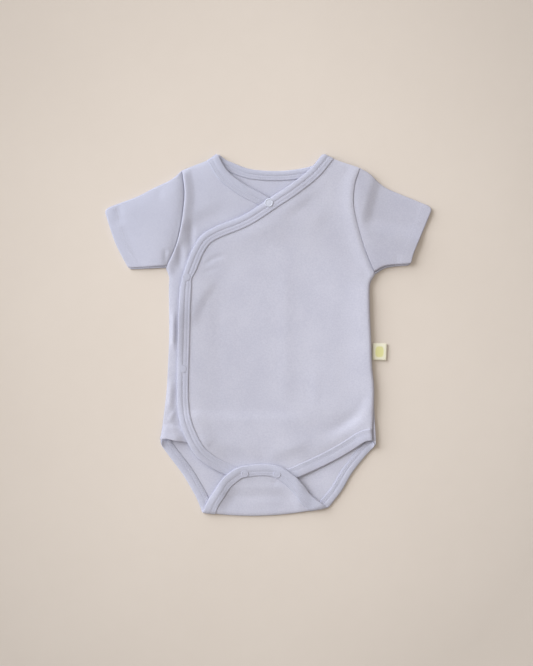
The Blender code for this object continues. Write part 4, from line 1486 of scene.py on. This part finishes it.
@dataclass
class Snap:
    """A press fastener's cap: a low dome with a rolled rim, sunk into the strip."""

    piece: Piece
    middle: tuple[float, float]
    radius: float
    place: Callable[[Array, Array, Array], Array]
    height: float = 0.7
    sharp: float = 1.0          # how clearly its rim shows
    sides: int = 40

    def build(self) -> bpy.types.Object:
        """Makes the cap."""
        rim = 0.35 * self.sharp
        profile = [
            (1.0, -0.3), (1.02, 0.0), (1.0, 0.25 * self.height), (0.95, 0.55 * self.height + rim * 0.6),
            (0.88, 0.7 * self.height + rim), (0.8, 0.7 * self.height + rim * 0.8), (0.72, 0.72 * self.height),
            (0.55, 0.8 * self.height), (0.35, 0.93 * self.height), (0.15, self.height),
        ]
        mesh = bmesh.new()
        weave = mesh.loops.layers.uv.new("weave")
        first = [mesh.verts.new((reach, 0.0, height)) for reach, height in profile]
        edges = [mesh.edges.new(pair) for pair in zip(first, first[1:])]
        bmesh.ops.spin(
            mesh, geom=first + edges, cent=(0, 0, 0), axis=(0, 0, 1), angle=math.tau, steps=self.sides,
            use_merge=True,
        )
        bmesh.ops.holes_fill(mesh, edges=[edge for edge in mesh.edges if edge.is_boundary])
        flat = np.array([vertex.co for vertex in mesh.verts])
        x = self.middle[0] + self.radius * flat[:, 0]
        y = self.middle[1] + self.radius * flat[:, 1]
        points = self.place(x, y, BINDING_TOP + flat[:, 2])
        for vertex, point in zip(mesh.verts, points):
            vertex.co = point * MM
        for face in mesh.faces:
            for loop in face.loops:
                loop[weave].uv = loop.vert.co.xy
        return self.piece.make(mesh)


@dataclass
class Label:
    """A short woven ribbon, folded in two, with its ends in the side seam."""

    piece: Piece
    seam_x: float = 109.4
    end_x: float = 124.0
    middle_y: float = -17.9
    width: float = 17.6
    wall: float = 0.45
    lean: float = 0.035
    height: float = 1.9

    def build(self) -> bpy.types.Object:
        """Makes the ribbon, looped at its outer end."""
        reach = self.end_x - self.seam_x
        bend = 0.75
        self.piece.cut = Cut(self.width * MM, (2 * (reach - bend) + math.pi * bend) * MM)
        half = self.wall / 2
        straight = np.linspace(0.0, reach - bend, 9)
        turn = np.linspace(math.pi / 2, -math.pi / 2, 9)[1:-1]
        centre = [(x, bend) for x in straight]
        centre += [(reach - bend + bend * math.cos(t), bend * math.sin(t)) for t in turn]
        centre += [(x, -bend) for x in straight[::-1]]
        line = np.array(centre)
        ahead = np.gradient(line, axis=0)
        square = np.column_stack([-ahead[:, 1], ahead[:, 0]]) / np.linalg.norm(ahead, axis=1, keepdims=True)
        sections = np.linspace(-0.5, 0.5, 15)

        def place(column: Array, row: Array, side: Array) -> tuple[Array, Array]:
            """Points on the ribbon's two faces."""
            point = line[column] + square[column] * np.where(side > 0, half, -half)[:, None]
            across = sections[row] * self.width
            x = self.seam_x + point[:, 0] + across * self.lean
            y = self.middle_y + across - point[:, 0] * self.lean
            droop = 0.25 * (point[:, 0] / reach) ** 2 * np.cos(sections[row] * 2.0)
            z = self.height / 2 + 0.1 + point[:, 1] + droop
            return np.column_stack([x, y, z]), np.column_stack([point[:, 0] - reach / 2, across])

        return self.piece.make(grid(len(line) - 1, len(sections) - 1, place, wall=True))


@dataclass
class Bodysuit:
    """The whole garment, piece by piece."""

    garment: Garment = field(default_factory=Garment)
    knit: bpy.types.Material = field(default_factory=KNIT.material)
    shaded_sleeve_knit: bpy.types.Material = field(default_factory=SHADED_SLEEVE_KNIT.material)
    rib: bpy.types.Material = field(default_factory=RIB.material)
    thread: bpy.types.Material = field(default_factory=THREAD.material)
    cap: bpy.types.Material = field(default_factory=CAP.material)
    ribbon: bpy.types.Material = field(default_factory=RIBBON.material)

    def panel(self, name: str, node: str, held: str, on: tuple[str, ...]) -> Piece:
        """A piece of knit that stands for one CAD node."""
        return Piece(name, self.knit, (node,), "knit", held, on)

    def strip(self, name: str, node: str, on: str) -> Piece:
        """A binding that stands for one CAD node."""
        return Piece(name, self.rib, (node,), "binding", "folded", (on,))

    def build_panels(self) -> None:
        """Makes the back and the two fronts."""
        garment = self.garment
        Back(self.panel("back_cloth", "back_panel", "folded", ()), garment).build()
        hem_bottom = LEFT_SIDE[-1][1] - HEM_OVERHANG
        neck = garment.underlap_neck.inset(BINDING_FOLD)[::-1]
        inner = np.array([(UNDERLAP_INNER_X, neck[-1][1] - 1), (UNDERLAP_INNER_X, hem_bottom)])
        outline = (garment.shoulders[0].line, garment.armholes[0].line[1:], garment.sides[0].line[1:])
        rim = np.array([1.1, 0.5, 0.15, 0.0])
        Front(
            self.panel("underlap_cloth", "front_underlap", "laid", ("back_cloth",)),
            left=outline, right=(neck, inner),
            rows=np.concatenate([np.arange(FRONT_TOP, hem_bottom + rim[0], -ROW_STEP), hem_bottom + rim]),
            middle=garment.underlap_middle, width=110.0, hem_top=hem_bottom + HEM_DEPTH,
        ).build()
        leg = garment.wrap_leg.inset(BINDING_FOLD)[::-1]
        Front(
            self.panel("wrap_cloth", "front_wrap", "laid", ("underlap_cloth", "back_cloth")),
            left=(garment.wrap_edge.inset(BINDING_FOLD),),
            right=(
                garment.shoulders[1].line, garment.armholes[1].line[1:], garment.wrap_side.line[1:-3], leg,
            ),
            rows=np.arange(FRONT_TOP, TAB_END_Y - 0.1, -ROW_STEP), middle=garment.wrap_middle, width=190.0,
        ).build()

    def build_bindings(self) -> None:
        """Makes the bindings and their stitches."""
        garment = self.garment
        bindings = {
            "neck_back": Binding(
                self.strip("neck_back_strip", "neck_binding_back", "back_cloth"),
                garment.neck, garment.on_back, NECK_BINDING_WIDTH, end=0.58,
            ),
            "neck_underlap": Binding(
                self.strip("neck_underlap_strip", "neck_binding_underlap", "underlap_cloth"),
                garment.underlap_neck, garment.on_underlap, mitres=(0.0, -0.14),
            ),
            "wrap": Binding(
                self.strip("wrap_strip", "wrap_binding", "wrap_cloth"),
                garment.wrap_edge, garment.on_wrap, rows=(2.6, 6.3), mitres=(-0.21, 0.0),
                pinches=((float(garment.wrap_edge.nearest(-91.0, 61.0)[0]), 0.17, 7.0),),
            ),
            "wrap_leg": Binding(
                self.strip("wrap_leg_strip", "wrap_leg_binding", "wrap_cloth"),
                garment.wrap_leg, garment.on_wrap, mitres=(0.0, 0.05), rounded=0.0, groove=0.1, end=0.6,
                pressed=0.75,
            ),
            "leg": Binding(
                self.strip("leg_strip", "leg_binding", "back_cloth"),
                garment.leg, garment.on_folded_back, groove=0.14, end=0.6, step=1.5,
            ),
        }
        for name, binding in bindings.items():
            binding.build()
            stitches = binding.stitches()
            if name == "neck_back":
                stitches += binding.stitches(side=-1.0)
            if name == "leg":
                stitches += binding.ladder()
            sew(f"{name}_stitches", stitches, self.thread, "binding")

    def build_sleeves(self) -> None:
        """Makes both sleeves and their cuffs' stitches."""
        right = Sleeve(
            self.panel("sleeve_right_cloth", "sleeve_right", "folded", ()), LEFT_ARMHOLE,
            (
                (-90.9, 172.3), (-102.4, 162.6), (-120.0, 154.2), (-137.0, 145.4), (-157.0, 137.8),
                (-172.8, 131.8),
            ),
            ((-108.0, 69.9), (-130.9, 68.9), (-146.6, 68.4)),
            ((-172.8, 131.8), (-161.1, 96.5), (-146.6, 68.4)), -1, SLEEVE_RIGHT_CREASES,
        )
        # The left sleeve wears the darker copy of the knit, whose darkness is painted shade.
        left = Sleeve(
            replace(
                self.panel("sleeve_left_cloth", "sleeve_left", "folded", ()),
                finish=self.shaded_sleeve_knit,
            ),
            RIGHT_ARMHOLE,
            (
                (96.0, 175.0), (106.5, 168.6), (116.0, 159.4), (126.0, 152.6), (150.0, 142.6),
                (172.6, 133.5),
            ),
            ((112.1, 63.1), (124.5, 70.0), (149.1, 72.7)),
            ((172.6, 133.5), (165.4, 116.0), (158.2, 99.0), (152.4, 85.0), (149.1, 72.7)), 1,
            SLEEVE_LEFT_CREASES, thickness=6.2, cuff_thickness=4.8, seam_height=5.9, shoulder=0.96,
            sharp=0.0, hem_rise=0.2,
        )
        for sleeve in (right, left):
            sleeve.build()
            sew(sleeve.piece.nodes[0] + "_stitches", sleeve.stitches(), self.thread, "knit")

    def build_trims(self) -> None:
        """Makes the snaps and the label."""
        garment = self.garment

        def on_flap(x: Array, y: Array, height: Array) -> Array:
            """Places on the flap, by the plan."""
            return garment.on_folded_back(x, -FOLD_LENGTH - (y - fold_middle(x)), height)

        snaps = (
            ("snap_neck", (0.5, 138.1), 4.5, garment.on_wrap, self.cap, 0.6, 0.8),
            ("snap_side_upper", (-86.1, 60.5), 4.2, garment.on_wrap, self.rib, 0.35, 0.0),
            ("snap_side_lower", (-90.3, -36.2), 4.2, garment.on_wrap, self.rib, 0.3, 0.0),
            ("snap_crotch_right", (-24.7, -146.0), 3.9, on_flap, self.rib, 0.5, 0.35),
            ("snap_crotch_left", (8.9, -146.8), 3.9, on_flap, self.rib, 0.5, 0.35),
        )
        for name, middle, radius, place, finish, height, sharp in snaps:
            piece = Piece(name + "_cap", finish, (name,), "snap_cap")
            Snap(piece, middle, radius, place, height, sharp).build()
        Label(Piece("label", self.ribbon, ("side_label",), "ribbon", "folded")).build()


@dataclass
class Studio:
    """The pale floor, the soft light and the camera straight above."""

    view_height: float = 0.6993
    centre: tuple[float, float] = (-0.0021, 0.0016)
    camera_height: float = 2.2
    focus_height: float = 0.004

    def build(self) -> None:
        """Makes the stage."""
        self.build_floor()
        self.build_lights()
        self.build_camera()

    def build_floor(self) -> None:
        """Makes the floor."""
        mesh = bmesh.new()
        bmesh.ops.create_grid(mesh, x_segments=2, y_segments=2, size=3.0)
        data = bpy.data.meshes.new("floor")
        mesh.to_mesh(data)
        mesh.free()
        data.materials.append(PLASTER.material())
        linked("floor", data)

    def build_lights(self) -> None:
        """Makes a tall soft window at the left, a weak lamp overhead and an even sky."""
        window = bpy.data.lights.new("window", "SUN")
        window.energy, window.angle, window.color = 5.45, 1.1, (0.935, 0.985, 1.04)
        sunlight = Vector((0.87, -0.50, -0.34))
        linked("window", window).rotation_euler = sunlight.to_track_quat("-Z", "Y").to_euler()
        self.lamp("overhead", (0.05, 0.2, 2.4), (1.2, 1.2), 10.0, (1.0, 0.99, 0.98))
        world = bpy.data.worlds.new("sky")
        world.use_nodes = True
        background = world.node_tree.nodes["Background"]
        background.inputs["Color"].default_value = (1.0, 0.91, 0.78, 1.0)
        background.inputs["Strength"].default_value = 0.385
        bpy.context.scene.world = world

    def lamp(self, name: str, place: Triple, size: tuple[float, float], power: float, tint: Triple) -> None:
        """Makes a lamp that points at the garment.

        Args:
            name: its name.
            place: where it is.
            size: its width and height.
            power: in watts.
            tint: its colour.
        """
        lamp = bpy.data.lights.new(name, "AREA")
        lamp.shape, lamp.size, lamp.size_y = "RECTANGLE", *size
        lamp.energy, lamp.color = power, tint
        item = linked(name, lamp)
        item.location = place
        item.rotation_euler = (-item.location).to_track_quat("-Z", "Y").to_euler()

    def build_camera(self) -> None:
        """Makes the camera."""
        data = bpy.data.cameras.new("camera")
        data.sensor_width = 36.0
        data.lens = data.sensor_width * (self.camera_height - self.focus_height) / self.view_height
        camera = linked("camera", data)
        camera.location = (*self.centre, self.camera_height)
        bpy.context.scene.camera = camera
        bpy.context.scene.view_settings.view_transform = "Standard"


def main() -> None:
    """Builds the garment and its stage."""
    logging.basicConfig(level=logging.INFO, format="%(message)s")
    suit = Bodysuit()
    suit.build_panels()
    suit.build_bindings()
    suit.build_sleeves()
    suit.build_trims()
    Studio().build()


if __name__ == "__main__":
    main()
